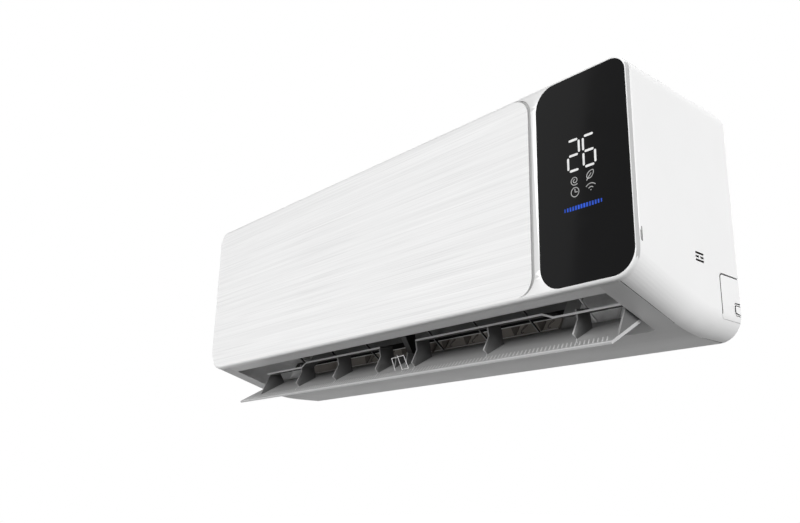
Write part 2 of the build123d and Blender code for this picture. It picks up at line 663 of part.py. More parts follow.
def louver_motor():
    """Stepper motor on the recess's right end, bored for the louver's pin."""
    pivot = louver_pivot()
    near = RECESS_X + WALL + FIT
    can = (pivot[0] + 4.2, pivot[1] + 9.4)
    motor = across(disc(*can, 10.8), near, near + 14)
    motor += across(disc(*pivot, MOTOR_BOSS_RADIUS), near, near + 9)
    ears = side([(can[0] - 15, can[1] + 2), (can[0] + 15, can[1] + 2),
                 (can[0] + 15, can[1] + 8), (can[0] - 15, can[1] + 8)])
    motor += across(ears, near, near + 1.5)
    return motor - across(disc(*pivot, LOUVER_PIN_RADIUS + RUNNING_GAP), near - 1, near + 8.5)


# ------------------------------------------------------------------ guide vanes

def on_floor(x, along, rise):
    """Plane square to the outlet floor at a place on it; its own Y runs up the floor."""
    point = outlet_floor(along, rise)
    return Plane(origin=(x, point[0] - DEPTH, point[1]), x_dir=(1, 0, 0),
                 z_dir=(0, -math.sin(OUTLET_RISE), math.cos(OUTLET_RISE)))


def floor_pin(x, along, rise0, rise1, radius):
    """Round pin square to the outlet floor."""
    return extrude(on_floor(x, along, rise0) * Circle(radius), amount=rise1 - rise0)


def vane_xs(sign):
    """Places of one side's vanes, from the middle outward."""
    return [sign * (VANE_FIRST + k * VANE_PITCH) for k in range(VANES_PER_SIDE)]


def vane(x):
    """Upright guide vane with its foot pin, collar and link peg."""
    outline = side([outlet_floor(along, rise) for along, rise in
                    ((25.0, 2.5), (34.5, VANE_SPAN), (47.5, VANE_SPAN), (51.0, 42.0),
                     (60.0, 20.0), (61.0, 7.0), (57.0, 2.5))])
    blade = across(outline, x - VANE_THICKNESS / 2, x + VANE_THICKNESS / 2)
    blade += floor_pin(x, VANE_PIVOT_ALONG, FIT, 3.5, 2 * VANE_PIN_RADIUS)
    blade += floor_pin(x, VANE_PIVOT_ALONG, FIT - RAIL_THICKNESS, 1.0, VANE_PIN_RADIUS)
    peg = VANE_PIVOT_ALONG + LINK_OFFSET
    return blade + floor_pin(x, peg, VANE_SPAN - 1, VANE_SPAN + LINK_THICKNESS + 1, PEG_RADIUS)


def floor_slab(x0, x1, along0, along1, rise0, rise1):
    """Flat bar that lies along the outlet floor."""
    corners = ((along0, rise0), (along1, rise0), (along1, rise1), (along0, rise1))
    return across(side([outlet_floor(*corner) for corner in corners]), x0, x1)


def vane_link(sign):
    """Bar that joins one side's vanes."""
    peg = VANE_PIVOT_ALONG + LINK_OFFSET
    x0, x1 = sorted((vane_xs(sign)[0] - sign * 6, vane_xs(sign)[-1] + sign * 6))
    low = VANE_SPAN + FIT
    bar = floor_slab(x0, x1, peg - LINK_WIDTH / 2, peg + LINK_WIDTH / 2, low, low + LINK_THICKNESS)
    for x in vane_xs(sign):
        bar -= floor_pin(x, peg, low - 1, low + LINK_THICKNESS + 1, PEG_RADIUS + RUNNING_GAP)
    return bar


def vane_rail(sign):
    """Strip let into the outlet floor that carries one side's vanes."""
    inner = sign * 2.0
    outer = THROAT_LEFT + 1 if sign < 0 else THROAT_RIGHT - 1
    rail = floor_slab(*sorted((inner, outer)), RAIL_START, RAIL_START + RAIL_LENGTH,
                      -RAIL_THICKNESS, 0)
    relief = Polygon((-9, -8), (9, -8), (0, 7), align=None)
    relief -= Polygon((-6.5, -6.8), (6.5, -6.8), (0, 4), align=None)
    for x in vane_xs(sign):
        rail -= floor_pin(x, VANE_PIVOT_ALONG, -RAIL_THICKNESS - 1, 1,
                          VANE_PIN_RADIUS + RUNNING_GAP)
    for x in vane_xs(sign)[:-1]:
        for share in (0.25, 0.75):
            plane = on_floor(x + sign * share * VANE_PITCH, RAIL_START + RAIL_LENGTH / 2, -0.2)
            rail += extrude(plane * relief, amount=1.4)
    return rail


# ------------------------------------------------------------------ fan

def fan_blade(turn):
    """End-on outline of one curved fan blade."""
    front, back = [], []
    for share in (0.0, 0.5, 1.0):
        radius = FAN_RADIUS - 0.2 - FAN_BLADE_DEPTH * (1 - share)
        angle = turn + math.radians(FAN_BLADE_SWEEP) * share ** 1.6
        half = FAN_BLADE_THICKNESS / 2 / radius
        for points, swing in ((front, half), (back, -half)):
            points.append((FAN_BEHIND + radius * math.cos(angle + swing),
                           FAN_HEIGHT + radius * math.sin(angle + swing)))
    return side(front + back[::-1])


def fan_wheel():
    """Cross-flow wheel: end discs, rings between its sections and curved blades."""
    left, right = THROAT_LEFT + FAN_END_GAP, THROAT_RIGHT - FAN_END_GAP
    length = (right - left) / FAN_SECTIONS
    pitch = 2 * math.pi / FAN_BLADES
    wheel = Part()
    for k in range(FAN_SECTIONS + 1):
        x0 = left if k == 0 else min(left + k * length, right) - FAN_DISC_THICKNESS
        ring = disc(FAN_BEHIND, FAN_HEIGHT, FAN_RADIUS)
        end = k in (0, FAN_SECTIONS)
        bore = SHAFT_RADIUS + RUNNING_GAP if end else FAN_RADIUS - FAN_BLADE_DEPTH - 2
        wheel += across(ring - disc(FAN_BEHIND, FAN_HEIGHT, bore), x0, x0 + FAN_DISC_THICKNESS)
    for k in range(FAN_SECTIONS):
        x0 = left + k * length - (0 if k else -FAN_DISC_THICKNESS)
        x1 = min(left + (k + 1) * length, right) - FAN_DISC_THICKNESS
        blades = [across(fan_blade(pitch * (n + k / FAN_SECTIONS)), x0, x1)
                  for n in range(FAN_BLADES)]
        wheel += blades
    return wheel


def fan_shaft():
    """Shaft through the wheel, from the bearing to inside the motor."""
    return across(disc(FAN_BEHIND, FAN_HEIGHT, SHAFT_RADIUS), THROAT_LEFT - 11, MOTOR_X + 39)


def fan_bearing():
    """Rubber-mounted bearing in the left end plate."""
    ring = disc(FAN_BEHIND, FAN_HEIGHT, BEARING_RADIUS)
    ring -= disc(FAN_BEHIND, FAN_HEIGHT, SHAFT_RADIUS + RUNNING_GAP)
    return across(ring, THROAT_LEFT - 9, THROAT_LEFT - 0.5)


def fan_motor():
    """Fan motor, bored for the shaft."""
    motor = across(disc(FAN_BEHIND, FAN_HEIGHT, MOTOR_RADIUS), MOTOR_X, MOTOR_X + MOTOR_LENGTH)
    motor = fillet(motor.edges(), 5)
    motor += across(disc(FAN_BEHIND, FAN_HEIGHT, 12), MOTOR_X + MOTOR_LENGTH - 1,
                    MOTOR_X + MOTOR_LENGTH + 5)
    bore = disc(FAN_BEHIND, FAN_HEIGHT, SHAFT_RADIUS + RUNNING_GAP)
    return motor - across(bore, MOTOR_X - 1, MOTOR_X + 40)


def half_clamp(upper):
    """Half ring round the motor with its two ears."""
    ring = disc(FAN_BEHIND, FAN_HEIGHT, MOTOR_RADIUS + FIT + CLAMP_THICKNESS)
    ring -= disc(FAN_BEHIND, FAN_HEIGHT, MOTOR_RADIUS + FIT)
    low, high = (FIT / 2, 60) if upper else (-60, -FIT / 2)
    ring &= side([(FAN_BEHIND + d, FAN_HEIGHT + z)
                  for d, z in ((-60, low), (60, low), (60, high), (-60, high))])
    edge = low if upper else high
    ear = edge + CLAMP_THICKNESS if upper else edge - CLAMP_THICKNESS
    clamp = across(ring, *CLAMP_X)
    for direction in (-1, 1):
        d0, d1 = sorted((FAN_BEHIND + direction * (MOTOR_RADIUS + 1),
                         FAN_BEHIND + direction * (MOTOR_RADIUS + 12)))
        clamp += block(*CLAMP_X, d0, d1, *sorted((FAN_HEIGHT + edge, FAN_HEIGHT + ear)))
    return clamp


def motor_clamp():
    """Upper half of the motor's clamp."""
    return half_clamp(True)


# ------------------------------------------------------------------ chassis and wall plate

def round_fan(*steps):
    """Points at steps behind and above the fan's axis."""
    return [(FAN_BEHIND + behind, FAN_HEIGHT + up) for behind, up in steps]


def scroll_outline():
    """Side view of the fan scroll, thicker where the vane rails are let in."""
    joint = FLOOR_JOINT + FIT
    duct = [floor_at(joint), outlet_floor(61.0), *round_fan((40, -40), (48, -18), (52, 5), (54, 28))]
    back = round_fan((54 + SCROLL_WALL, 28), (55.6, 5), (51.5, -18.5), (43.3, -41), (34.5, -60))
    foot = [outlet_floor(54, -7.5), outlet_floor(26, -7.5), (OUTLET_REAR + 18, joint)]
    return duct + back + foot


def end_plate_outline():
    """Side view of the plates that close the fan's ends."""
    low = RECESS_CEILING + WALL + FIT
    front, back = COIL_FOOT[0] + 20, CHASSIS_BACK - 1
    foot = (COIL_REAR_FOOT[0] - 24.5, COIL_REAR_FOOT[1] - 13)
    return [(front, COIL_FOOT[1] + 10), (front, COIL_BEND[1] - 21),
            (COIL_PEAK[0] + 17, COIL_PEAK[1] - 23.5), (COIL_REAR_PEAK[0] - 17, COIL_REAR_PEAK[1] - 23.5),
            foot, (back, foot[1]), (back, low), (THROAT_TIP[0] - 7, low), (THROAT_TIP[0] - 7, 88)]


def rear_chassis():
    """Scroll, end plates, rear trough, back wall, pipe channel roof and motor cradle."""
    left, right = THROAT_LEFT - WALL - FIT, THROAT_RIGHT + WALL + FIT
    chassis = across(side(scroll_outline()), left, right)
    floor, back = COIL_REAR_FOOT[1] - 29, CHASSIS_BACK - 1
    top, brim = round_fan((54, 28), (40, floor - 4 - FAN_HEIGHT)), COIL_REAR_FOOT[1] - 1
    trough = side([*top, (FAN_BEHIND + 38, brim - 12), (FAN_BEHIND + 41, brim - 12),
                   (FAN_BEHIND + 43, floor), (back - 8, floor), (back - 6, brim), (back, brim),
                   (back, floor - 4), (FAN_BEHIND + 46, floor - 4), *round_fan((57.5, 28))])
    chassis += across(trough, left, right)
    plate = side(end_plate_outline())
    chassis += across(plate, left - END_PLATE, left) + across(plate, right, right + END_PLATE)
    chassis += block(-CHASSIS_X, CHASSIS_X, CHASSIS_BACK - WALL, CHASSIS_BACK,
                     CHANNEL_TOP, HEIGHT - WALL - FIT)
    chassis += block(left, right, 144, CHASSIS_BACK, CHANNEL_TOP, CHANNEL_TOP + WALL)
    for x in (-250.0, -90.0, 90.0, 250.0):
        chassis += block(x - 8, x + 8, CHASSIS_BACK - 1, DEPTH - PLATE_THICKNESS - FIT, 90, 200)
        chassis += across(side([(150, CHANNEL_TOP + 1.5), (back - 1, CHANNEL_TOP + 1.5),
                                (back - 1, floor - 3), *round_fan((56, 28))]), x - 1.2, x + 1.2)
    chassis += half_clamp(False)
    web = side([(FAN_BEHIND, FAN_HEIGHT - 42), (FAN_BEHIND + 35, FAN_HEIGHT - 24),
                (FAN_BEHIND + 45, FAN_HEIGHT - FIT), (CHASSIS_BACK - 1, FAN_HEIGHT - FIT),
                (CHASSIS_BACK - 1, FAN_HEIGHT - 42)])
    web -= disc(FAN_BEHIND, FAN_HEIGHT, MOTOR_RADIUS + 1)
    for x in CLAMP_X:
        chassis += across(web, x - 1.5, x + 1.5)
    for x in (BOX_X[0] + 13, BOX_X[1] - 16):
        chassis += block(x - 1.5, x + 1.5, BOX_BEHIND[1] + FIT, back, BOX_HEIGHTS[0] + 42,
                         BOX_HEIGHTS[1] - 6)
    return chassis - chassis_cuts()


def chassis_cuts():
    """Shaft and bearing holes, rail pockets and the wall plate's windows."""
    axis = (FAN_BEHIND, FAN_HEIGHT)
    cuts = [across(disc(*axis, BEARING_RADIUS + FIT), THROAT_LEFT - 12, THROAT_LEFT),
            across(disc(*axis, SHAFT_RADIUS + 2), THROAT_RIGHT, THROAT_RIGHT + 12),
            floor_slab(THROAT_LEFT + 0.7, THROAT_RIGHT - 0.7, RAIL_START - FIT,
                       RAIL_START + RAIL_LENGTH + FIT, -RAIL_THICKNESS - FIT, 5)]
    for x in (-HOOK_X, HOOK_X):
        cuts.append(block(x - 18, x + 18, CHASSIS_BACK - 5, CHASSIS_BACK + 1, 236, 244))
    return cuts


def wall_plate():
    """Pressed plate that is bolted to the wall and carries the unit on its hooks."""
    low, high = PLATE_CENTRE - PLATE_HEIGHT / 2, PLATE_CENTRE + PLATE_HEIGHT / 2
    front = DEPTH - PLATE_THICKNESS
    half = PLATE_WIDTH / 2
    outline = rounded(-half, half, low, high, (12, 12, 12, 12))
    for x in (-PLATE_HOLES[0] / 2, PLATE_HOLES[0] / 2):
        for z in (PLATE_CENTRE - PLATE_HOLES[1] / 2, PLATE_CENTRE + PLATE_HOLES[1] / 2):
            outline -= Pos(x, z) * Circle(PLATE_HOLE_RADIUS)
    for x in (-200.0, -100.0, 100.0, 200.0):
        outline -= rounded(x - 35, x + 35, 120, 180, (10, 10, 10, 10))
    plate = facing(outline, front, DEPTH)
    for x in (-HOOK_X, HOOK_X):
        plate += block(x - 15, x + 15, CHASSIS_BACK - 6, front + 0.5, 239, 241)
        plate += block(x - 15, x + 15, CHASSIS_BACK - 6, CHASSIS_BACK - 4, 239, 251)
        plate += block(x - 15, x + 15, CHASSIS_BACK - 6, front + 0.5, CHANNEL_TOP - FIT - 2,
                       CHANNEL_TOP - FIT)
    return plate


# ------------------------------------------------------------------ evaporator, pan and pipes

def inward(start, end, distance):
    """Step square to a line, to its right."""
    span = math.dist(start, end)
    return ((end[1] - start[1]) / span * distance, -(end[0] - start[0]) / span * distance)


def coil_outline(start, end):
    """Side view of a straight fin pack from its outer line."""
    step = inward(start, end, COIL_THICKNESS)
    return [start, end, (end[0] + step[0], end[1] + step[1]),
            (start[0] + step[0], start[1] + step[1])]


def coil_outlines():
    """Side views of the front, upper and rear fin packs; the front one is mitred to the upper."""
    upper = coil_outline(COIL_BEND, COIL_PEAK)
    slope = (upper[3][1] - upper[0][1]) / (upper[3][0] - upper[0][0])
    front, back = COIL_FOOT[0], COIL_FOOT[0] + COIL_THICKNESS
    top = COIL_BEND[1] - COIL_JOINT
    mitred = [COIL_FOOT, (back, COIL_FOOT[1]), (back, top + slope * (back - COIL_BEND[0])),
              (front, top + slope * (front - COIL_BEND[0]))]
    return [mitred, upper, coil_outline(COIL_REAR_PEAK, COIL_REAR_FOOT)]


def fin_pack(index):
    """One aluminium fin pack."""
    return across(side(coil_outlines()[index]), COIL_LEFT, COIL_RIGHT)


def tube_sheet(x0):
    """Bent plate at one end of the three fin packs."""
    sheet = Part()
    for outline in coil_outlines():
        sheet += across(offset(side(outline), 0.9), x0, x0 + SHEET_THICKNESS)
    peak = (COIL_PEAK[0] + COIL_REAR_PEAK[0]) / 2
    low = coil_outlines()[1][2][1] - 4
    return sheet + block(x0, x0 + SHEET_THICKNESS, peak - 12, peak + 12, low, low + 10)


def tube_place(index, along):
    """Centre of a tube in a fin pack, a distance from the pack's first end."""
    starts = (((COIL_FOOT[0], COIL_FOOT[1]), (COIL_FOOT[0], COIL_BEND[1])),
              (COIL_BEND, COIL_PEAK), (COIL_REAR_PEAK, COIL_REAR_FOOT))
    start, end = starts[index]
    point = toward(start, end, along)
    step = inward(start, end, COIL_THICKNESS / 2)
    return (point[0] + step[0], point[1] + step[1])


def return_bend(number):
    """Hairpin that joins two neighbouring tubes at the coil's left end."""
    index, along = BEND_STARTS[number]
    a, b = tube_place(index, along), tube_place(index, along + TUBE_PITCH)
    face = COIL_LEFT - SHEET_THICKNESS
    middle = (face - 5 - TUBE_PITCH / 2, (a[0] + b[0]) / 2 - DEPTH, (a[1] + b[1]) / 2)
    start, end = (face - 5, a[0] - DEPTH, a[1]), (face - 5, b[0] - DEPTH, b[1])
    path = Line((face, start[1], start[2]), start) + ThreePointArc(start, middle, end)
    path += Line(end, (face, end[1], end[2]))
    return sweep(Plane(origin=path @ 0, z_dir=path % 0) * Circle(TUBE_RADIUS), path=path)


def pipe(points, radius, bend):
    """Round pipe along (x, behind, height) points, with bent corners."""
    path = FilletPolyline(*[(x, d - DEPTH, z) for x, d, z in points], radius=bend)
    return sweep(Plane(origin=path @ 0, z_dir=path % 0) * Circle(radius), path=path)


def pipe_route(start, x, height, end_x):
    """Points of a pipe from the coil's right end down into the channel and along it."""
    face = COIL_RIGHT + SHEET_THICKNESS
    return [(face, *start), (x, *start), (x, start[0], height), (end_x, start[0], height)]


def gas_route():
    """Route of the suction pipe."""
    return pipe_route(tube_place(2, COIL_REAR_LENGTH - 8.6), GAS_X, GAS_HEIGHT, PIPE_END_X)


def liquid_route():
    """Route of the liquid pipe."""
    place = tube_place(2, COIL_REAR_LENGTH - 23.6)
    return pipe_route(place, LIQUID_X, LIQUID_HEIGHT, PIPE_END_X + 40)


def gas_pipe():
    """Suction pipe."""
    return pipe(gas_route(), GAS_RADIUS, PIPE_BEND)


def liquid_pipe():
    """Liquid pipe."""
    return pipe(liquid_route(), LIQUID_RADIUS, PIPE_BEND)


def flare_nut(end, radius):
    """Hexagonal flare nut on a pipe's end."""
    x, behind, height = end
    hexagon = Pos(behind - DEPTH, height) * RegularPolygon(radius * 1.6 + 2.4, 6)
    hexagon -= disc(behind, height, radius + RUNNING_GAP)
    return across(hexagon, x, x + 16)


def drain_pan():
    """Long tray under the front fin pack, with a spout at its right end."""
    floor = DRAIN_PAN_FLOOR
    x0, x1 = THROAT_LEFT - 2.3, COIL_RIGHT + 2.3
    profile = side([(20, floor), (56, floor + 0.5), (64.2, floor + 8), (64.2, floor + 18),
                    (61.8, floor + 18), (61.8, floor + 9), (55, floor + 2.8),
                    (22.4, floor + 2.4), (22.4, floor + 20), (20, floor + 20)])
    cap = side([(20, floor), (56, floor + 0.5), (63, floor + 7), (63, floor + 10), (20, floor + 10)])
    pan = across(profile, x0, x1) + across(cap, x0, x0 + 2) + across(cap, x1 - 2, x1)
    pan += across(disc(42, floor + 6, 3.6), x1 - 1, x1 + 8)
    return pan - across(disc(42, floor + 6, 2.4), x1 - 3, x1 + 9)


def drain_hose():
    """Hose from the pan's spout, over the outlet's end, along the pipe channel and to the wall."""
    height = DRAIN_PAN_FLOOR + 6
    over = RECESS_CEILING + WALL + HOSE_RADIUS + 1.6
    x0 = COIL_RIGHT + 2.3 + FIT
    route = [(x0, 42, height), (HOSE_X, 42, height), (HOSE_X, 78, over), (HOSE_X, HOSE_BEHIND, over),
             (HOSE_X, HOSE_BEHIND, HOSE_HEIGHT), (PIPE_END_X, HOSE_BEHIND, HOSE_HEIGHT),
             (PIPE_END_X, HOSE_END_BEHIND, HOSE_HEIGHT)]
    hose = pipe(route, HOSE_RADIUS, HOSE_BEND)
    hose -= across(disc(42, height, 3.6 + RUNNING_GAP), x0 - 1, x0 + 9)
    return hose - facing(Pos(PIPE_END_X, HOSE_HEIGHT) * Circle(HOSE_BORE_RADIUS),
                         HOSE_END_BEHIND - HOSE_BORE_LENGTH, HOSE_END_BEHIND + 1)


# ------------------------------------------------------------------ filters

def filter_span(sign):
    """Left and right limits of one filter."""
    middle = (INLET_LEFT + INLET_RIGHT) / 2
    if sign < 0:
        return INLET_LEFT + FILTER_GAP, middle - FILTER_GAP
    return middle + FILTER_GAP, INLET_RIGHT - FILTER_GAP


def filter_frame(sign):
    """Filter frame with its cross bars."""
    x0, x1 = filter_span(sign)
    d0, d1 = INLET_FRONT + FILTER_GAP, INLET_REAR - FILTER_GAP
    low = HEIGHT - INLET_RECESS + FIT
    high = low + FILTER_HEIGHT
    frame = block(x0, x1, d0, d1, low, high)
    frame -= block(x0 + FILTER_BAR, x1 - FILTER_BAR, d0 + FILTER_BAR, d1 - FILTER_BAR,
                   low - 1, high + 1)
    for k in range(1, 5):
        x = x0 + (x1 - x0) * k / 5
        frame += block(x - 1.5, x + 1.5, d0 + 1, d1 - 1, low + 1.6, high)
    middle = (d0 + d1) / 2
    return frame + block(x0 + 1, x1 - 1, middle - 1.5, middle + 1.5, low + 1.6, high)


def filter_net(sign):
    """Fine net under the frame's cross bars."""
    x0, x1 = filter_span(sign)
    low = HEIGHT - INLET_RECESS + 2 * FIT
    rim = FILTER_BAR + FIT
    return block(x0 + rim, x1 - rim, INLET_FRONT + FILTER_GAP + rim,
                 INLET_REAR - FILTER_GAP - rim, low, low + 1.0)


# ------------------------------------------------------------------ electrical parts

def control_box():
    """Open tray for the control board."""
    d0, d1 = BOX_BEHIND[0] + 2 + FIT, BOX_BEHIND[1]
    box = block(*BOX_X, d0, d1, *BOX_HEIGHTS)
    box -= block(BOX_X[0] + 2, BOX_X[1] - 2, d0 - 1, d1 - 2, BOX_HEIGHTS[0] + 2, BOX_HEIGHTS[1] - 2)
    for x in (BOX_X[0] + 12, BOX_X[1] - 12):
        for z in (BOX_HEIGHTS[0] + 12, BOX_HEIGHTS[1] - 12):
            box += facing(Pos(x, z) * Circle(3), d1 - 10, d1 - 1)
    return box


def control_lid():
    """Lid of the control box with cooling slots."""
    lid = block(*BOX_X, BOX_BEHIND[0], BOX_BEHIND[0] + 2, *BOX_HEIGHTS)
    slots = [block(BOX_X[0] + 14, BOX_X[1] - 14, BOX_BEHIND[0] - 1, BOX_BEHIND[0] + 3, z, z + 4)
             for z in (204, 216, 228, 240)]
    return lid - slots


def control_board():
    """Control board with its larger parts."""
    back = BOX_BEHIND[1] - 10 - FIT
    board = block(BOX_X[0] + 4, BOX_X[1] - 4, back - 1.6, back, BOX_HEIGHTS[0] + 4, BOX_HEIGHTS[1] - 4)
    left, low = BOX_X[0], BOX_HEIGHTS[0]
    for x, z, radius, length in ((30, 63, 9, 28), (55, 66, 7, 22), (17, 28, 5, 14)):
        board += facing(Pos(left + x, low + z) * Circle(radius), back - 1.6 - length, back - 1)
    for x, z in ((45, 23), (70, 23), (70, 46)):
        board += block(left + x - 9, left + x + 9, back - 18, back - 1, low + z - 7, low + z + 7)
    return board


def terminal_block():
    """Terminal strip under the control box."""
    high, right = BOX_HEIGHTS[0] - FIT, BOX_X[1] - 2
    strip = block(right - 30, right, 50, 100, high - 12, high)
    wells = [block(right - 28, right - 2, d, d + 5, high - 13, high - 8) for d in (53, 63, 73, 83, 92)]
    return strip - wells


def emergency_button():
    """Hand-run button in the cup behind the front wall."""
    back = FRONT_WALL_BEHIND + WALL
    place = Pos(BUTTON_X, BUTTON_HEIGHT)
    button = facing(place * Circle(BUTTON_RADIUS), FRONT_WALL_BEHIND - 1.2, back + 2)
    button = fillet(button.edges().sort_by(Axis.Y)[0], 1)
    return button + facing(place * Circle(BUTTON_FLANGE_RADIUS), back + FIT, back + FIT + 2)


def button_spring():
    """Spring on the cup's floor, as long as it is with the button pressed."""
    back = FRONT_WALL_BEHIND + WALL
    first, last = back + 2 * FIT + 2 + BUTTON_TRAVEL + 0.5, back + 12 - FIT - 0.5
    helix = Helix(pitch=(last - first) / 4, height=last - first, radius=4.2,
                  center=(0, 0, 0), direction=(0, 0, 1))
    helix = Plane(origin=(BUTTON_X, first - DEPTH, BUTTON_HEIGHT), x_dir=(1, 0, 0),
                  z_dir=(0, 1, 0)) * helix
    return sweep(Plane(origin=helix @ 0, z_dir=helix % 0) * Circle(0.45), path=helix)


def screw(sign):
    """Screw that holds the casing's front wall to the underside."""
    place = Pos(sign * SCREW_X, SCREW_HEIGHT)
    head = facing(place * Circle(SCREW_HEAD_RADIUS), FRONT_WALL_BEHIND - 2.2, FRONT_WALL_BEHIND)
    head -= facing(place * Rectangle(5, 1), FRONT_WALL_BEHIND - 3, FRONT_WALL_BEHIND - 1.2)
    head -= facing(place * Rectangle(1, 5), FRONT_WALL_BEHIND - 3, FRONT_WALL_BEHIND - 1.2)
    return head + facing(place * Circle(SCREW_RADIUS), FRONT_WALL_BEHIND - 1, FRONT_WALL_BEHIND + 9)


# ------------------------------------------------------------------ the assembly

def assembly():
    """All pieces by node name, still in the casing's own heights."""
    gas_end, liquid_end = gas_route()[-1], liquid_route()[-1]
    pieces = {
        "wall_plate": wall_plate(),
        "rear_chassis": rear_chassis(),
        "outer_frame": outer_frame(),
        "outlet_housing": outlet_housing(),
        "pipe_cover_left": pipe_cover(-1),
        "pipe_cover_right": pipe_cover(1),
        "front_cover": front_cover(),
        "brushed_panel": brushed_panel(),
        "display_glass": display_glass(),
        "display_board": display_board(),
        "coil_front": fin_pack(0),
        "coil_upper": fin_pack(1),
        "coil_rear": fin_pack(2),
        "tube_sheet_left": tube_sheet(COIL_LEFT - SHEET_THICKNESS),
        "tube_sheet_right": tube_sheet(COIL_RIGHT),
        "gas_pipe": gas_pipe(),
        "liquid_pipe": liquid_pipe(),
        "gas_nut": flare_nut(gas_end, GAS_RADIUS),
        "liquid_nut": flare_nut(liquid_end, LIQUID_RADIUS),
        "drain_pan": drain_pan(),
        "drain_hose": drain_hose(),
        "fan_wheel": fan_wheel(),
        "fan_shaft": fan_shaft(),
        "fan_bearing": fan_bearing(),
        "fan_motor": fan_motor(),
        "motor_clamp": motor_clamp(),
        "control_box": control_box(),
        "control_lid": control_lid(),
        "control_board": control_board(),
        "terminal_block": terminal_block(),
        "main_louver": main_louver(),
        "upper_louver_left": upper_blade_left(),
        "upper_louver_right": upper_blade_right(),
        "louver_support": louver_support(),
        "louver_motor": louver_motor(),
        "emergency_button": emergency_button(),
        "button_spring": button_spring(),
    }
    for number in range(len(BEND_STARTS)):
        pieces[f"return_bend_{number + 1}"] = return_bend(number)
    for name, sign in (("left", -1), ("right", 1)):
        pieces[f"filter_{name}"] = filter_frame(sign)
        pieces[f"filter_net_{name}"] = filter_net(sign)
        pieces[f"vane_rail_{name}"] = vane_rail(sign)
        pieces[f"vane_link_{name}"] = vane_link(sign)
        pieces[f"screw_{name}"] = screw(sign)
        for number, x in enumerate(vane_xs(sign), 1):
            pieces[f"vane_{name}_{number}"] = vane(x)
    return pieces


os.makedirs("parts", exist_ok=True)
for node, piece in assembly().items():
    export_step(Pos(0, 0, -PLATE_CENTRE) * piece, f"parts/{node}.step")
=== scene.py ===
import logging
import math
from collections.abc import Callable, Iterable, Sequence
from dataclasses import dataclass, field
from enum import Enum

import bmesh
import bpy
from bmesh.types import BMesh, BMFace, BMVert
from bpy.types import ID, Material, Mesh, Node, NodeSocket, NodeTree, Object
from mathutils import Matrix, Vector


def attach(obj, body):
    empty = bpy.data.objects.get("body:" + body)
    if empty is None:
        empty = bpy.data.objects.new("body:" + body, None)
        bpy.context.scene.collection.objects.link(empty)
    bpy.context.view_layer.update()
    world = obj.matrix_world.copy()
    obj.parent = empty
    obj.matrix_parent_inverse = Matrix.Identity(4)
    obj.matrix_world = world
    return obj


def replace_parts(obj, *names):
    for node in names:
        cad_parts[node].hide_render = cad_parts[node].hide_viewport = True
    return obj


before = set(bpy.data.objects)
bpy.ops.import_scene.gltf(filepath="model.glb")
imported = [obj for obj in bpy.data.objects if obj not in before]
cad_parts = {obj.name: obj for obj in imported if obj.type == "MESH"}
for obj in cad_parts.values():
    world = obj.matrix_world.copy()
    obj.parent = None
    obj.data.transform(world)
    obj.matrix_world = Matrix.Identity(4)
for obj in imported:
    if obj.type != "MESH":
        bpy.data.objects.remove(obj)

LOG = logging.getLogger("indoor_unit")

# Casing numbers that place the pieces, in millimetres: depth behind the front face, height over
# the flat underside. The origin is the middle of the wall plate's rear face.
DEPTH = 207.4
PLATE_CENTRE = 150.0
SLANT_HEIGHT = 40.4
SLANT = math.radians(17.07)

Pair = tuple[float, float]
Triple = tuple[float, float, float]
# Test of a zone, from a face's centre in casing millimetres and its normal.
Zone = Callable[[Vector, Vector], bool]
# Control points of a line, as x and height, and whether it closes.
Line = tuple[Sequence[Pair], bool]


def at(x: float, behind: float, height: float) -> Vector:
    """Place in the shared frame.

    Args:
        x: Millimetres to the right of the middle.
        behind: Millimetres behind the front face.
        height: Millimetres over the flat underside.

    Returns:
        The place in metres.
    """
    return Vector((x, behind - DEPTH, height - PLATE_CENTRE)) * 0.001


def linear(colour: str) -> tuple[float, float, float, float]:
    """Linear colour of an sRGB hex value.

    Args:
        colour: Six hex digits after a hash sign.

    Returns:
        Red, green, blue and an alpha of one.
    """
    parts = [int(colour[i:i + 2], 16) / 255 for i in (1, 3, 5)]
    bright = [c / 12.92 if c <= 0.04045 else ((c + 0.055) / 1.055) ** 2.4 for c in parts]
    return (bright[0], bright[1], bright[2], 1.0)


def add_node(tree: NodeTree, kind: str, links: dict | None = None,
             values: dict | None = None, **settings: object) -> Node:
    """Add a shader node with its settings, values and links.

    Args:
        tree: Node tree that gets the node.
        kind: Blender's name of the node type.
        links: Input sockets, by name or number, and the output sockets that feed them.
        values: Input sockets and their own values.
        settings: Properties of the node.

    Returns:
        The new node.
    """
    node = tree.nodes.new(kind)
    for name, value in settings.items():
        setattr(node, name, value)
    for socket, value in (values or {}).items():
        node.inputs[socket].default_value = value
    for socket, source in (links or {}).items():
        tree.links.new(source, node.inputs[socket])
    return node

def empty_tree(owner: ID) -> NodeTree:
    """Node tree of a new material or world, cleared.

    Args:
        owner: The material or world.

    Returns:
        Its empty node tree.
    """
    owner.use_nodes = True
    owner.node_tree.nodes.clear()
    return owner.node_tree


def grey(level: float) -> tuple[float, float, float, float]:
    """Linear grey of a level from 0 to 1."""
    return (level, level, level, 1.0)


def maths(tree: NodeTree, operation: str, first: NodeSocket,
          second: NodeSocket, **settings: object) -> NodeSocket:
    """Output of a math node on two outputs, such as their sum or the greater one."""
    return add_node(tree, "ShaderNodeMath", links={0: first, 1: second}, operation=operation,
                    **settings).outputs[0]


def new_object(name: str, data: ID) -> Object:
    """Make an object and link it to the scene.

    Args:
        name: Its name.
        data: Its mesh, camera or light.

    Returns:
        The new object.
    """
    made = bpy.data.objects.new(name, data)
    bpy.context.scene.collection.objects.link(made)
    return made


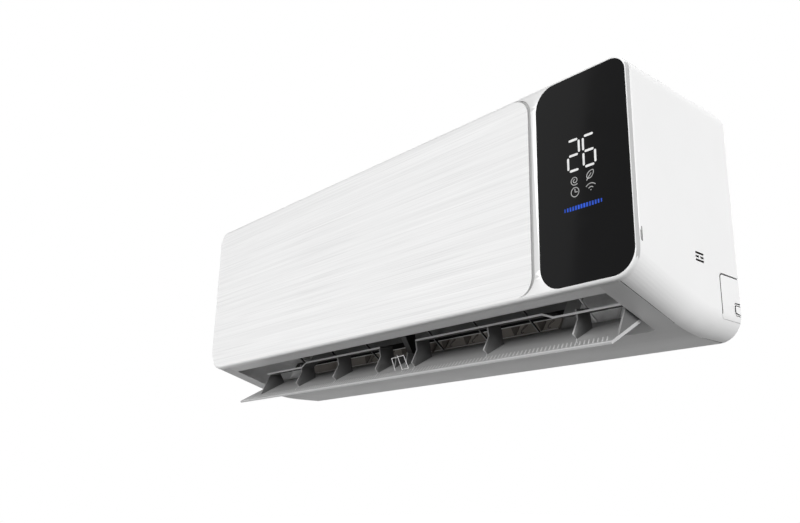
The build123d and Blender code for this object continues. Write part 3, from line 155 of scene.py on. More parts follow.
def new_mesh(name: str, work: BMesh) -> Mesh:
    """Turn finished work into a mesh, and free the work.

    Args:
        name: Name of the mesh.
        work: The work, which is gone afterwards.

    Returns:
        The mesh.
    """
    data = bpy.data.meshes.new(name)
    work.to_mesh(data)
    work.free()
    return data


# ------------------------------------------------------------------ finishes

@dataclass
class Surface:
    """Node tree of a material, and the shader that its patterns feed."""

    tree: NodeTree
    shader: Node

    def feed(self, socket: str, source: NodeSocket) -> None:
        """Link a pattern's output to one of the shader's inputs."""
        self.tree.links.new(source, self.shader.inputs[socket])

    def give(self, values: dict[str, object]) -> None:
        """Set some of the shader's inputs to fixed values."""
        for socket, value in values.items():
            self.shader.inputs[socket].default_value = value

    def texture(self, kind: str, size: Sequence[float], values: dict[str, float],
                **settings: object) -> Node:
        """Add a texture in object coordinates, in which one unit is the pattern's real size.

        Args:
            kind: Blender's name of the texture node, after its common beginning.
            size: Millimetres for one unit along X, Y and Z.
            values: The texture's own inputs.
            settings: Its properties.

        Returns:
            The texture node.
        """
        place = add_node(self.tree, "ShaderNodeTexCoord")
        sized = add_node(self.tree, "ShaderNodeMapping", links={"Vector": place.outputs["Object"]},
                         values={"Scale": [1000 / s for s in size]})
        return add_node(self.tree, f"ShaderNodeTex{kind}", values={"Scale": 1.0, **values},
                        links={"Vector": sized.outputs["Vector"]}, **settings)

    def noise(self, size: Sequence[float], detail: float, **values: float) -> NodeSocket:
        """Output of a noise texture with its detail and other inputs."""
        return self.texture("Noise", size, {"Detail": detail, **values}).outputs["Fac"]

    def ranged(self, source: NodeSocket, given: Pair = (0.0, 1.0),
               wanted: Pair = (0.0, 1.0)) -> NodeSocket:
        """Map a pattern from a given range to a wanted one.

        Args:
            source: The pattern's output.
            given: Its values that count as the ends.
            wanted: What they become.

        Returns:
            The mapped output.
        """
        ends = dict(zip(("From Min", "From Max", "To Min", "To Max"), (*given, *wanted)))
        return add_node(self.tree, "ShaderNodeMapRange", links={"Value": source},
                        values=ends).outputs["Result"]

    def mottle(self, factor: NodeSocket, colour: str, other: str,
               socket: str = "Base Color") -> None:
        """Mix two colours by a pattern, and feed the shader with the result.

        Args:
            factor: Pattern output from 0 to 1.
            colour: The first colour, as a hex value.
            other: The second colour.
            socket: The shader's input.
        """
        mix = add_node(self.tree, "ShaderNodeMix", links={"Factor": factor}, data_type="RGBA",
                       values={"A": linear(colour), "B": linear(other)})
        self.feed(socket, mix.outputs["Result"])

    def gloss(self, source: NodeSocket, smooth: float, rough: float) -> None:
        """Let a pattern change the roughness between two values."""
        self.feed("Roughness", self.ranged(source, wanted=(smooth, rough)))

    def relief(self, height: NodeSocket, strength: float, depth: float) -> None:
        """Let a pattern raise the surface, by a depth in millimetres.

        Args:
            height: The pattern's output.
            strength: How much of it shows.
            depth: Height of the relief.
        """
        bump = add_node(self.tree, "ShaderNodeBump", links={"Height": height},
                        values={"Strength": strength, "Distance": depth * 0.001})
        self.feed("Normal", bump.outputs["Normal"])


@dataclass(frozen=True)
class Finish:
    """What every finish has: a name, the record's slot, and a colour."""

    name: str
    slot: str
    colour: str

    def material(self) -> Material:
        """The finish's material, made once.

        Returns:
            The Blender material.
        """
        found = bpy.data.materials.get(self.name)
        if found is not None:
            return found
        made = bpy.data.materials.new(self.name)
        tree = empty_tree(made)
        shader = add_node(tree, "ShaderNodeBsdfPrincipled",
                          values={"Base Color": linear(self.colour)})
        add_node(tree, "ShaderNodeOutputMaterial", links={"Surface": shader.outputs["BSDF"]})
        self.dress(Surface(tree, shader))
        return made

    def dress(self, surface: Surface) -> None:
        """Give the surface this finish's pattern; each finish has its own."""
        raise NotImplementedError


@dataclass(frozen=True)
class Moulded(Finish):
    """ABS or polystyrene from a steel mould: an even colour, a fine spark-eroded grain that breaks
    up the highlight, and slow changes of gloss where the mould was polished."""

    roughness: float
    shade: str
    drift: float = 70.0
    grain: float = 0.9
    depth: float = 0.02

    def dress(self, surface: Surface) -> None:
        """Fine grain in the relief, slow drift in colour and gloss.

        Args:
            surface: Surface that gets them.
        """
        drift = surface.noise((1, 1, 1), 2.0, Scale=1 / self.drift, Roughness=0.5)
        surface.mottle(drift, self.colour, self.shade)
        surface.gloss(drift, self.roughness - 0.04, self.roughness + 0.05)
        # The real grain is 0.1 mm, too fine to show, so it is drawn coarser.
        grain = surface.noise((1, 1, 1), 3.0, Scale=1 / self.grain, Roughness=0.6)
        surface.relief(grain, 0.35, self.depth)


@dataclass(frozen=True)
class BrushedFilm(Finish):
    """White film with brushed lines under a clear coat: fine streaks along the unit, a few of
    them longer and stronger, and a soft sheen drawn out across the lines."""

    shade: str = "#e8e8e8"
    fine: Triple = (300.0, 9.0, 0.7)
    broad: Triple = (420.0, 9.0, 4.0)
    strong: Triple = (260.0, 9.0, 1.3)

    def dress(self, surface: Surface) -> None:
        """Three widths of streak, in colour, gloss and relief.

        Args:
            surface: Surface that gets them.
        """
        # Real lines are 0.1 to 0.3 mm wide; drawn from 0.7 mm, so that they show.
        fine = surface.noise(self.fine, 3.0, Roughness=0.6)
        broad = surface.noise(self.broad, 4.0, Roughness=0.65)
        lone = add_node(surface.tree, "ShaderNodeValToRGB",
                        links={"Fac": surface.noise(self.strong, 1.0)})
        lone.color_ramp.elements[0].position = 0.60
        lone.color_ramp.elements[1].position = 0.72
        spread = surface.ranged(maths(surface.tree, "ADD", fine, broad), given=(0.72, 1.28))
        whole = maths(surface.tree, "ADD", spread, lone.outputs["Color"], use_clamp=True)
        surface.mottle(whole, self.colour, self.shade)
        surface.gloss(fine, 0.34, 0.5)
        surface.relief(whole, 0.25, 0.04)


@dataclass(frozen=True)
class BlackGlass(Finish):
    """Tempered glass printed black behind: a deep, flat black with a sharp, weak reflection and
    a trace of wiping marks in the gloss."""

    shade: str = "#0d0d0e"

    def dress(self, surface: Surface) -> None:
        """Wiping marks, which change the gloss only a little.

        Args:
            surface: Surface that gets them.
        """
        marks = surface.noise((60, 60, 22), 3.0, Distortion=0.8)
        surface.gloss(marks, 0.04, 0.11)
        surface.mottle(marks, self.colour, self.shade)
        surface.give({"Specular IOR Level": 0.17})


@dataclass(frozen=True)
class WorkedMetal(Finish):
    """Sheet, tube or turned metal: full metallic reflection, with the lines that drawing, turning
    or rolling left along the piece, and slightly darker patches of oxide."""

    roughness: float
    shade: str
    run: Triple = (12.0, 0.8, 0.8)
    patch: float = 14.0

    def dress(self, surface: Surface) -> None:
        """Lines along the piece in gloss and relief, patches in colour.

        Args:
            surface: Surface that gets them.
        """
        lines = surface.noise(self.run, 3.0)
        patches = surface.texture("Voronoi", (self.patch,) * 3, {"Randomness": 1.0})
        surface.mottle(patches.outputs["Distance"], self.colour, self.shade)
        surface.gloss(lines, self.roughness - 0.08, self.roughness + 0.1)
        surface.relief(lines, 0.3, 0.02)
        surface.give({"Metallic": 1.0})


@dataclass(frozen=True)
class WovenNet(Finish):
    """Filter net of nylon thread: light threads crossing over darker gaps, matt."""

    unit: float = 1.8
    wave_scale: float = 1 / 6.283 * math.pi
    gap: str = "#1c1d1e"

    def dress(self, surface: Surface) -> None:
        """Two sets of threads, one along each way of the net.

        Args:
            surface: Surface that gets them.
        """
        # Real threads are 0.5 mm apart; drawn about 1.1 mm apart, so that they show.
        threads = [surface.texture("Wave", (self.unit,) * 3,
                                   {"Scale": self.wave_scale, "Distortion": 0.0},
                                   wave_type="BANDS", bands_direction=way).outputs["Fac"]
                   for way in ("X", "Y")]
        cross = maths(surface.tree, "MAXIMUM", *threads)
        held = surface.ranged(cross, given=(0.55, 0.85), wanted=(1.0, 0.0))
        surface.mottle(held, self.colour, self.gap)
        surface.relief(cross, 0.6, 0.3)
        surface.give({"Roughness": 0.75})


@dataclass(frozen=True)
class CircuitBoard(Finish):
    """Glass-fibre board under green lacquer: a glossy green with paler copper tracks below it."""

    track: str = "#3f8f55"

    def dress(self, surface: Surface) -> None:
        """Square cells of track under the lacquer.

        Args:
            surface: Surface that gets them.
        """
        cells = surface.texture("Voronoi", (5, 5, 5), {"Randomness": 0.6},
                                distance="CHEBYCHEV", feature="DISTANCE_TO_EDGE")
        lines = surface.ranged(cells.outputs["Distance"], given=(0.05, 0.12), wanted=(1.0, 0.0))
        surface.mottle(lines, self.colour, self.track)
        surface.give({"Roughness": 0.3})


@dataclass(frozen=True)
class LitSign(Finish):
    """Light through a clear print in the glass: an even glow with a slightly fainter rim."""

    strength: float
    faint: str
    patch: float = 6.0

    def dress(self, surface: Surface) -> None:
        """A glow and its slow drift from lamp to lamp.

        Args:
            surface: Surface that gets them.
        """
        drift = surface.ranged(surface.noise((self.patch,) * 3, 1.0), given=(0.35, 0.75))
        surface.mottle(drift, self.colour, self.faint, "Emission Color")
        surface.give({"Base Color": linear("#101010"), "Emission Strength": self.strength,
                      "Roughness": 0.5, "Specular IOR Level": 0.1})


# Many finishes below are painted light or shade on one plastic: the slot, slit, groove, rim-side,
# underside, lip, duct, rebate, flap, ridge, rib and blade tones are painted shade, and the vane
# edge is a painted highlight.
CASING_WHITE = Moulded("abs_white_satin_moulded", "casing_white", "#f4f4f4", 0.42, "#f0f0f0")
SLOT_SHADE = Moulded("abs_slot_wall_painted_shade", "casing_white", "#2a2a2a", 0.7, "#242424")
SLIT_SHADE = Moulded("abs_slit_wall_painted_shade", "casing_white", "#9a9a9a", 0.6, "#929292")
RIM_WHITE = Moulded("abs_white_rim_polished", "cover_grey", "#f0f0f0", 0.3, "#ececec")
RIM_SIDE_SHADE = Moulded("abs_rim_side_painted_shade", "cover_grey", "#c0c0c0", 0.4, "#bababa")
GROOVE_SHADE = Moulded("abs_groove_painted_shade", "cover_grey", "#b2b2b2", 0.45, "#aaaaaa")
PANEL_WHITE = BrushedFilm("film_white_brushed", "brushed_white", "#fbfbfb")
GLASS_BLACK = BlackGlass("glass_black_back_printed", "black_glass", "#0b0b0c")
UNDER_SHADED_WHITE = Moulded("abs_white_underside_painted_shade", "outlet_grey", "#e0e0e0", 0.45, "#dbdbdb")
LIP_STRIP_SHADE = Moulded("abs_lip_painted_shade", "outlet_grey", "#ececec", 0.45, "#e6e6e6")
DUCT_SHADE = Moulded("polystyrene_duct_painted_shade", "outlet_grey", "#767676", 0.55, "#6e6e6e")
DUCT_DARK = Moulded("polystyrene_shaded_duct_moulded", "outlet_grey", "#1c1c1c", 0.6, "#181818")
VANE_EDGE_HIGHLIGHT = Moulded("polypropylene_vane_edge_moulded", "vane_dark", "#8c8c8c", 0.45, "#848484")
LIP_SHADE = Moulded("abs_rebate_painted_shade", "outlet_grey", "#8c8c8c", 0.6, "#848484")
RECESS_PALE = Moulded("polystyrene_pale_recess_moulded", "outlet_grey", "#f0f0f0", 0.55, "#eaeaea")
RECESS_GREY = Moulded("polystyrene_grey_button_moulded", "outlet_grey", "#8c8c8c", 0.55, "#828282")
TRIM_LINE = Moulded("abs_dark_parting_line", "outlet_grey", "#3c3c3c", 0.6, "#343434")
LOUVER_WHITE = Moulded("abs_white_louver_moulded", "louver_white", "#eeeeee", 0.42, "#e8e8e8")
FLAP_AND_WALL_SHADE = Moulded("abs_flap_and_wall_painted_shade", "louver_white", "#a4a4a4", 0.5, "#9c9c9c")
GRIP_RIDGE_SHADE = Moulded("abs_grip_ridge_painted_shade", "louver_white", "#c4c4c4", 0.5, "#bcbcbc")
FLAP_EDGE_SHADE = Moulded("abs_flap_edge_painted_shade", "louver_white", "#c6c6c6", 0.45, "#bebebe")
RIB_SIDE_SHADE = Moulded("abs_rib_side_painted_shade", "louver_white", "#6a6a6a", 0.5, "#626262")
RIB_FOOT_SHADE = Moulded("abs_rib_foot_painted_shade", "louver_grey", "#8c8c8c", 0.5, "#868686")
RIB_EDGE = Moulded("abs_light_rib_edge_moulded", "louver_white", "#dcdcdc", 0.4, "#d4d4d4")
BLADE_LIGHT = Moulded("abs_light_blade_edge_moulded", "louver_grey", "#f0f0f0", 0.42, "#eaeaea")
BLADE_SHADE = Moulded("abs_blade_painted_shade", "louver_grey", "#565656", 0.5, "#505050")
RAIL_BROWN = Moulded("polypropylene_brown_rail_moulded", "vane_dark", "#aaa49e", 0.5, "#a29c96")
RAIL_LIGHT = Moulded("polystyrene_light_ledge_moulded", "outlet_grey", "#e8e8e8", 0.5, "#e0e0e0")
VANE_DARK = Moulded("polypropylene_dark_vane_moulded", "vane_dark", "#262626", 0.5, "#202020")
RELIEF_DARK = Moulded("polypropylene_black_relief_moulded", "vane_dark", "#6e6964", 0.5, "#67625d")
INNER_PLASTIC = Moulded("polystyrene_inner_moulded", "inner_plastic", "#c9c9c6", 0.5, "#c2c2be")
FAN_DARK = Moulded("glass_filled_as_fan_moulded", "fan_dark", "#1d1d1e", 0.5, "#171718")
FILTER_GREY = Moulded("polypropylene_filter_frame_moulded", "filter_grey", "#9fa1a3", 0.5,
                      "#97999b")
NET_DARK = WovenNet("nylon_net_woven", "net_dark", "#5b5e61")
HOSE_GREY = Moulded("pvc_hose_extruded", "hose_grey", "#c4c4c2", 0.5, "#bbbbb8")
RUBBER_BLACK = Moulded("rubber_bearing_mount_moulded", "rubber_black", "#161616", 0.8, "#1c1c1c")
MOTOR_GREY = Moulded("motor_resin_cast", "motor_grey", "#4c4d50", 0.5, "#434447")
TERMINAL_CREAM = Moulded("polyamide_terminal_moulded", "terminal_cream", "#e4dcc4", 0.45, "#dbd2b8")
GALVANISED = WorkedMetal("steel_sheet_galvanised", "galvanised", "#c3c6c8", 0.42, "#9fa3a6", (3.0,
                         3.0, 3.0), 9.0)
STEEL = WorkedMetal("steel_ground", "steel", "#c8c8c8", 0.3, "#a8a8a8")
ALUMINIUM = WorkedMetal("aluminium_fin_rolled", "fins", "#d9dbdd", 0.35, "#c2c5c8", (4.0, 0.6,
                        18.0), 20.0)
COPPER = WorkedMetal("copper_tube_drawn", "copper", "#c57b54", 0.3, "#96573a")
BRASS = WorkedMetal("brass_nut_turned", "brass", "#c9a765", 0.28, "#a98646", (0.8, 6.0, 6.0))
BOARD_GREEN = CircuitBoard("board_green_lacquered", "board_green", "#0f5a2b")
DIGIT_WHITE = LitSign("lamp_white_lit_print", "black_glass", "#f2f2f2", 1.0, "#dcdcdc")
ICON_WHITE = LitSign("lamp_pale_lit_print", "black_glass", "#c6c6c6", 0.85, "#a8a8a8")
BAR_BLUE = LitSign("lamp_blue_lit_print", "black_glass", "#2d5ee0", 0.95, "#2347ac", 9.0)


# ------------------------------------------------------------------ pieces

class Side(Enum):
    """The two halves of the unit as a viewer in front sees them."""

    LEFT = -1
    RIGHT = 1


@dataclass
class Piece:
    """A mesh under work, in metres in the shared frame, that becomes a finished object."""

    name: str
    body: str
    finish: Finish
    crease: float = 35.0
    mesh: BMesh = field(default_factory=bmesh.new)

    def bar(self, middle: Vector, size: Sequence[float], turn: Matrix | None = None,
            round_edges: float = 0.0) -> None:
        """Add a straight bar.

        Args:
            middle: Its centre, in metres.
            size: Its three lengths, in millimetres.
            turn: Its turn about its centre.
            round_edges: Width of the bevel on all its edges, in millimetres.
        """
        scale = Matrix.Diagonal(Vector([s * 0.001 for s in size] + [1.0]))
        matrix = Matrix.Translation(middle) @ (turn or Matrix.Identity(4)) @ scale
        made = bmesh.ops.create_cube(self.mesh, size=1.0, matrix=matrix)
        if round_edges:
            edges = list({e for v in made["verts"] for e in v.link_edges})
            bmesh.ops.bevel(self.mesh, geom=edges, offset=round_edges * 0.001, segments=2,
                            profile=0.5, affect="EDGES", material=-1)

    def finish_up(self) -> Object:
        """Turn the work into an object that rides on its body.

        Returns:
            The finished object.
        """
        bmesh.ops.remove_doubles(self.mesh, verts=self.mesh.verts, dist=1e-7)
        bmesh.ops.recalc_face_normals(self.mesh, faces=self.mesh.faces)
        return place_mesh(new_mesh(self.name, self.mesh), self.name, self.body, [self.finish],
                          self.crease)


def place_mesh(data: Mesh, name: str, body: str, finishes: Sequence[Finish],
               crease: float) -> Object:
    """Link a finished mesh, dress it and let it ride.

    Args:
        data: The mesh, in the shared frame.
        name: Name of the object.
        body: Body that it rides on.
        finishes: Its finishes.
        crease: Angle in degrees over which an edge stays sharp.

    Returns:
        The new object.
    """
    made = new_object(name, data)
    for finish in finishes:
        data.materials.append(finish.material())
    data.shade_smooth()
    data.set_sharp_from_angle(angle=math.radians(crease))
    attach(made, body)
    LOG.info("piece %s rides on %s with %d finishes", name, body, len(finishes))
    return made


def dress_node(node: str, finish: Finish) -> None:
    """Give a CAD node its finish and leave its shape alone.

    Args:
        node: Name of the node.
        finish: Its finish.
    """
    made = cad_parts[node]
    for place in made.material_slots:
        place.material = finish.material()
    LOG.info("node %s dressed in %s", node, finish.name)


def casing_place(place: Vector) -> Vector:
    """Casing millimetres (x, behind the front, over the underside) of a place in the frame."""
    return place * 1000 + Vector((0, DEPTH, PLATE_CENTRE))


def raise_faces(mesh: BMesh, faces: Sequence[BMFace], shift: Vector) -> list[BMVert]:
    """Move faces off their surface, with walls round them.

    Args:
        mesh: The mesh that they are in.
        faces: The faces.
        shift: Their movement, in metres.

    Returns:
        The moved corners.
    """
    made = bmesh.ops.extrude_face_region(mesh, geom=faces)["geom"]
    verts = [item for item in made if isinstance(item, BMVert)]
    bmesh.ops.translate(mesh, vec=shift, verts=verts)
    return verts


@dataclass
class Skin:
    """Merged copy of a CAD node, cut and painted in its zones, that stands for the node."""

    node: str
    body: str
    finish: Finish
    crease: float = 30.0
    merge: float = 1e-6
    sharp: float = 0.6
    mesh: BMesh = field(default_factory=bmesh.new)
    finishes: list[Finish] = field(default_factory=list)

    def __post_init__(self) -> None:
        """Copy the node's mesh and merge its loose triangles."""
        self.mesh.from_mesh(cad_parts[self.node].data)
        bmesh.ops.remove_doubles(self.mesh, verts=self.mesh.verts, dist=self.merge)
        self.paint(self.finish, lambda centre, normal: True)

    def number(self, finish: Finish) -> int:
        """Place of a finish in the piece's list, which gets it if it is new.

        Args:
            finish: The finish.

        Returns:
            Its place.
        """
        if finish not in self.finishes:
            self.finishes.append(finish)
        return self.finishes.index(finish)

    def cut(self, place: Vector, normal: Vector, away: bool = False) -> None:
        """Divide the faces along a plane, so that a zone can end there.

        Args:
            place: A place on the plane, in metres.
            normal: The plane's normal.
            away: Whether what lies beyond the plane goes, and the cut is closed.
        """
        whole = self.mesh.verts[:] + self.mesh.edges[:] + self.mesh.faces[:]
        bmesh.ops.bisect_plane(self.mesh, geom=whole, dist=self.merge, plane_co=place,
                               plane_no=normal, clear_outer=away)
        if away:
            rim = [edge for edge in self.mesh.edges if len(edge.link_faces) == 1]
            bmesh.ops.holes_fill(self.mesh, edges=rim, sides=0)
            wide = [face for face in self.mesh.faces if len(face.verts) > 4]
            bmesh.ops.triangulate(self.mesh, faces=wide)

    def paint(self, finish: Finish, test: Zone) -> list[BMFace]:
        """Give a zone its finish.

        Args:
            finish: Finish of the zone.
            test: Whether a face is in the zone.

        Returns:
            The zone's faces.
        """
        number = self.number(finish)
        zone = [face for face in self.mesh.faces
                if test(casing_place(face.calc_center_median()), face.normal)]
        for face in zone:
            face.material_index = number
        return zone

    def sink(self, finish: Finish, shift: Vector, test: Zone) -> None:
        """Push a zone of faces into the wall, with walls of its own.

        Args:
            finish: Finish of the floor and walls of the recess.
            shift: Movement of the floor, in millimetres.
            test: Whether a face is in the zone.
        """
        zone = self.paint(finish, test)
        number = self.number(finish)
        for vert in raise_faces(self.mesh, zone, shift * 0.001):
            for face in vert.link_faces:
                if abs(face.normal.dot(shift)) < 0.5:
                    face.material_index = number
        self.mesh.normal_update()

    def chamfer(self, finish: Finish, width: float, test: Callable[[Vector], bool]) -> None:
        """Widen a parting line: chamfer its sharp edges in another finish.

        Args:
            finish: Finish of the chamfer.
            width: Width of the chamfer, in millimetres.
            test: Whether a place in casing millimetres is on the line; an edge's thirds count.
        """
        edges = [edge for edge in self.mesh.edges
                 if len(edge.link_faces) == 2 and edge.calc_face_angle(0) > self.sharp
                 and all(test(casing_place(edge.verts[0].co.lerp(edge.verts[1].co, share)))
                         for share in (1 / 3, 2 / 3))]
        bmesh.ops.bevel(self.mesh, geom=edges, offset=width * 0.001, segments=1, profile=0.5,
                        affect="EDGES", material=self.number(finish))

    def place(self) -> None:
        """Turn the work into the object that stands for the node."""
        name = f"{self.node}_skin"
        made = place_mesh(new_mesh(name, self.mesh), name, self.body, self.finishes, self.crease)
        weighted = made.modifiers.new("weighted_normals", "WEIGHTED_NORMAL")
        weighted.keep_sharp = True
        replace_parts(made, self.node)


def wire_mesh(name: str, lines: Iterable[Line], stroke: float) -> Mesh:
    """Round wire along smooth lines in the upright plane through the origin.

    Args:
        name: Name of the mesh.
        lines: The lines' control points.
        stroke: Thickness of the wire, in millimetres.

    Returns:
        The mesh, in metres.
    """
    curve = bpy.data.curves.new(name, "CURVE")
    curve.dimensions = "3D"
    curve.bevel_depth = stroke * 0.0005
    curve.bevel_resolution = 1
    curve.resolution_u = 4
    curve.use_fill_caps = True
    for points, closed in lines:
        spline = curve.splines.new("NURBS")
        spline.points.add(len(points) - 1)
        for place, (x, z) in zip(spline.points, points):
            place.co = (x * 0.001, 0, z * 0.001, 1)
        spline.order_u = 3
        spline.use_endpoint_u = not closed
        spline.use_cyclic_u = closed
    holder = bpy.data.objects.new(name, curve)
    data = bpy.data.meshes.new_from_object(holder)
    bpy.data.objects.remove(holder)
    bpy.data.curves.remove(curve)
    return data


# ------------------------------------------------------------------ casing

@dataclass
class Casing:
    """White outer moulding with its slots and slit, and its pull-off corners."""

    # Near, far, low and high side of each zone, in casing millimetres.
    slot_zone: tuple[float, float, float, float] = (114.0, 133.0, 76.0, 88.6)
    slit_zone: tuple[float, float, float, float] = (9.0, 11.4, 76.0, 89.0)
    slit_line: tuple[float, float, float, float] = (11.3, 12.7, 76.6, 92.2)
    slit_depth: float = 1.2
    parting_line: float = 1.5
    end_from: float = 425.0
    end_face: float = 439.5
    corner_edge: Triple = (439.6, 206.5, 5.0)

    def build(self) -> None:
        """Dress the outer shell, and paint shade on the walls of its openings and its corners'
        parting lines.
        """
        shell = Skin("outer_frame", "casing", CASING_WHITE)
        # Painted shade: the slots' walls are dark and the slit's walls grey, for the shade inside
        # them.
        for zone, finish in ((self.slot_zone, SLOT_SHADE), (self.slit_zone, SLIT_SHADE)):
            near, far, low, high = zone
            shell.paint(finish, lambda centre, normal: (
                abs(normal.x) < 0.6 and abs(centre.x) > self.end_from
                and near < centre.y < far and low < centre.z < high))
        self.long_slit(shell)
        shell.place()
        end, rear, foot = self.corner_edge
        for side in Side:
            corner = Skin(f"pipe_cover_{side.name.lower()}", "casing", CASING_WHITE)
            # Painted shade: the parting line's chamfer is dark, for the shade in the gap.
            corner.chamfer(SLOT_SHADE, self.parting_line, lambda place: (
                abs(place.x) > end and place.y < rear and place.z > foot))
            corner.place()

    def long_slit(self, shell: Skin) -> None:
        """Sink the long narrow slit behind the cover's edge on the right side, its floor and walls
        painted dark as shade.

        Args:
            shell: Copy of the outer shell.
        """
        near, far, low, high = self.slit_line
        for behind in (near, far):
            shell.cut(at(0, behind, 0), Vector((0, 1, 0)))
        for height in (low, high):
            shell.cut(at(0, 0, height), Vector((0, 0, 1)))
        shell.sink(SLOT_SHADE, Vector((-self.slit_depth, 0, 0)), lambda centre, normal: (
            normal.x > 0.9 and centre.x > self.end_face
            and near < centre.y < far and low < centre.z < high))


@dataclass
class FrontCover:
    """Hinged cover with its brushed panel and black glass."""

    groove: Pair = (301.2, 306.8)
    groove_floor: Pair = (1.6, 2.7)
    groove_search: Pair = (270.0, 345.0)
    rim_from: float = 438.0

    def build(self) -> None:
        """Dress the cover with painted shade in its groove and on its rim sides, and its skins."""
        high, deep = self.groove_floor
        left, right = self.groove_search

        def in_groove(centre: Vector, normal: Vector) -> bool:
            """Whether a face is on the groove's floor or on one of its walls."""
            floor = left < centre.x < right and high < centre.y < deep and normal.y < -0.9
            return floor or (self.groove[0] - 0.6 < centre.x < self.groove[1] + 0.6
                             and centre.y < deep and abs(normal.x) > 0.4)
        cover = Skin("front_cover", "front_cover", RIM_WHITE)
        # Painted shade: the groove's floor and walls are grey, for the shade in it.
        cover.paint(GROOVE_SHADE, in_groove)
        # Painted shade: the rim's sides are grey, for the shade they get.
        cover.paint(RIM_SIDE_SHADE, lambda centre, normal: abs(centre.x) > self.rim_from
                    and abs(normal.x) > 0.8 and centre.y > 0.6)
        cover.place()
        dress_node("brushed_panel", PANEL_WHITE)
        dress_node("display_glass", GLASS_BLACK)
        dress_node("display_board", BOARD_GREEN)


@dataclass
class Display:
    """Lit digits, symbols and bar row in the black glass, in casing millimetres."""

    shown: tuple[str, str] = ("abged", "afgecd")
    behind: float = 0.13
    thickness: float = 0.1
    digit_lefts: Pair = (359.0, 380.2)
    digit_low: float = 171.6
    digit_width: float = 15.5
    digit_height: float = 35.8
    stroke: float = 2.7
    gap: float = 2.1
    inset: float = 0.35
    icon_stroke: float = 1.1
    bar_count: int = 14
    bar_pitch: float = 3.75
    bar_middle: Pair = (376.5, 128.0)
    bar_size: Pair = (2.4, 4.8)

    def build(self) -> None:
        """Make the digits, the four symbols and the bars."""
        self.digits()
        self.icons()
        self.bars()

    def digits(self) -> None:
        """Two seven-segment digits, a two and a six."""
        piece = Piece("display_digits", "front_cover", DIGIT_WHITE)
        for left, segments in zip(self.digit_lefts, self.shown):
            for segment in segments:
                self.segment(piece, left, segment)
        piece.finish_up()

    def segment(self, piece: Piece, left: float, letter: str) -> None:
        """Add one bar of a digit, with round ends.

        Args:
            piece: Piece that gets the bar.
            left: Left side of the digit, in millimetres.
            letter: The segment's usual letter, from a to g.
        """
        wide, half = self.digit_width, self.digit_height / 2
        low = self.digit_low
        flat = {"a": 2 * half, "g": half, "d": 0.0}
        if letter in flat:
            start = Vector((left + self.gap, low + flat[letter]))
            end = start + Vector((wide - 2 * self.gap, 0))
        else:
            x = left + (wide if letter in "bc" else 0)
            z = low + (half if letter in "bf" else 0)
            start, end = Vector((x, z + self.gap)), Vector((x, z + half - self.gap))
        inset = (end - start).normalized() * self.stroke * self.inset
        span = end - start - 2 * inset
        middle = (start + end) / 2
        made = bmesh.ops.create_cube(piece.mesh, size=1.0, matrix=Matrix.Diagonal((
            (span.length + self.stroke) * 0.001, self.thickness * 0.001, self.stroke * 0.001,
            1.0)))
        upright = [e for e in {e for v in made["verts"] for e in v.link_edges}
                   if abs((e.verts[0].co - e.verts[1].co).y) > 1e-6]
        # A bevel just under half as wide as the bar makes each end round.
        rounded = bmesh.ops.bevel(piece.mesh, geom=upright, offset=self.stroke * 0.00049,
                                  segments=4, profile=0.5, affect="EDGES", material=-1)
        verts = {v for v in made["verts"] if v.is_valid} | set(rounded["verts"])
        bmesh.ops.transform(piece.mesh, verts=list(verts), matrix=Matrix.Translation(
            at(middle.x, self.behind, middle.y))
            @ Matrix.Rotation(-math.atan2(span.y, span.x), 4, "Y"))

    @staticmethod
    def on_ellipse(wide: float, high: float, turn: float, drop: float = 0.0) -> Pair:
        """Point of an ellipse, from its half axes, an angle in radians and its centre's drop."""
        return (wide * math.cos(turn), high * math.sin(turn) - drop)

    def icons(self) -> None:
        """A swirl, a leaf, a clock and waves, drawn as round wire lines pressed flat."""
        swirl = [self.on_ellipse(6.0 * (1 - t / 25), 5.6 * (1 - t / 25), -t * 0.5 - 0.9)
                 for t in range(22)]
        self.wire("icon_swirl", (366.8, 159.6), [(swirl, False)])
        leaf = [(-3.6, -3.6), (-4.8, 0.0), (-1.6, 4.0), (5.0, 5.6), (4.6, 0.2), (1.2, -3.6),
                (-2.4, -3.8)]
        stem = [(-4.8, -5.6), (-1.8, -1.8), (1.8, 1.8)]
        self.wire("icon_leaf", (387.6, 160.6), [(leaf, True), (stem, False)])
        ring = [self.on_ellipse(5.7, 5.7, k * math.pi / 4) for k in range(8)]
        hands = [[(0, 3.8), (0, 1.0), (0, 0)], [(0, 0), (1.5, -0.2), (3.6, -0.3)]]
        self.wire("icon_clock", (366.8, 146.2), [(ring, True), *((hand, False) for hand in hands)])
        waves = [([self.on_ellipse(radius, radius, math.radians(a), 5.4)
                   for a in (140, 118, 90, 62, 40)], False) for radius in (4.0, 8.2)]
        waves.append(([(-0.5, -5.3), (0, -4.9), (0.5, -5.3)], False))
        self.wire("icon_waves", (388.0, 148.2), waves)

    def wire(self, name: str, middle: Pair, lines: Iterable[Line]) -> None:
        """Make a symbol from smooth lines.

        Args:
            name: Name of the piece.
            middle: Its centre, as x and height.
            lines: The lines' control points about the centre.
        """
        data = wire_mesh(name, lines, self.icon_stroke)
        data.transform(Matrix.Translation(at(middle[0], self.behind, middle[1]))
                       @ Matrix.Diagonal((1, self.thickness / self.icon_stroke, 1, 1)))
        place_mesh(data, name, "front_cover", [ICON_WHITE], 60)

    def bars(self) -> None:
        """Row of blue bars under the symbols."""
        piece = Piece("display_bars", "front_cover", BAR_BLUE)
        half = (self.bar_count - 1) / 2
        for k in range(self.bar_count):
            fade = 1 - 0.4 * abs((k - half) / half) ** 4
            piece.bar(at(self.bar_middle[0] + (k - half) * self.bar_pitch, self.behind,
                         self.bar_middle[1]), (self.bar_size[0] * fade, self.thickness,
                                               self.bar_size[1] * (0.55 + 0.45 * fade)))
        piece.finish_up()


# ------------------------------------------------------------------ outlet, louver and vanes

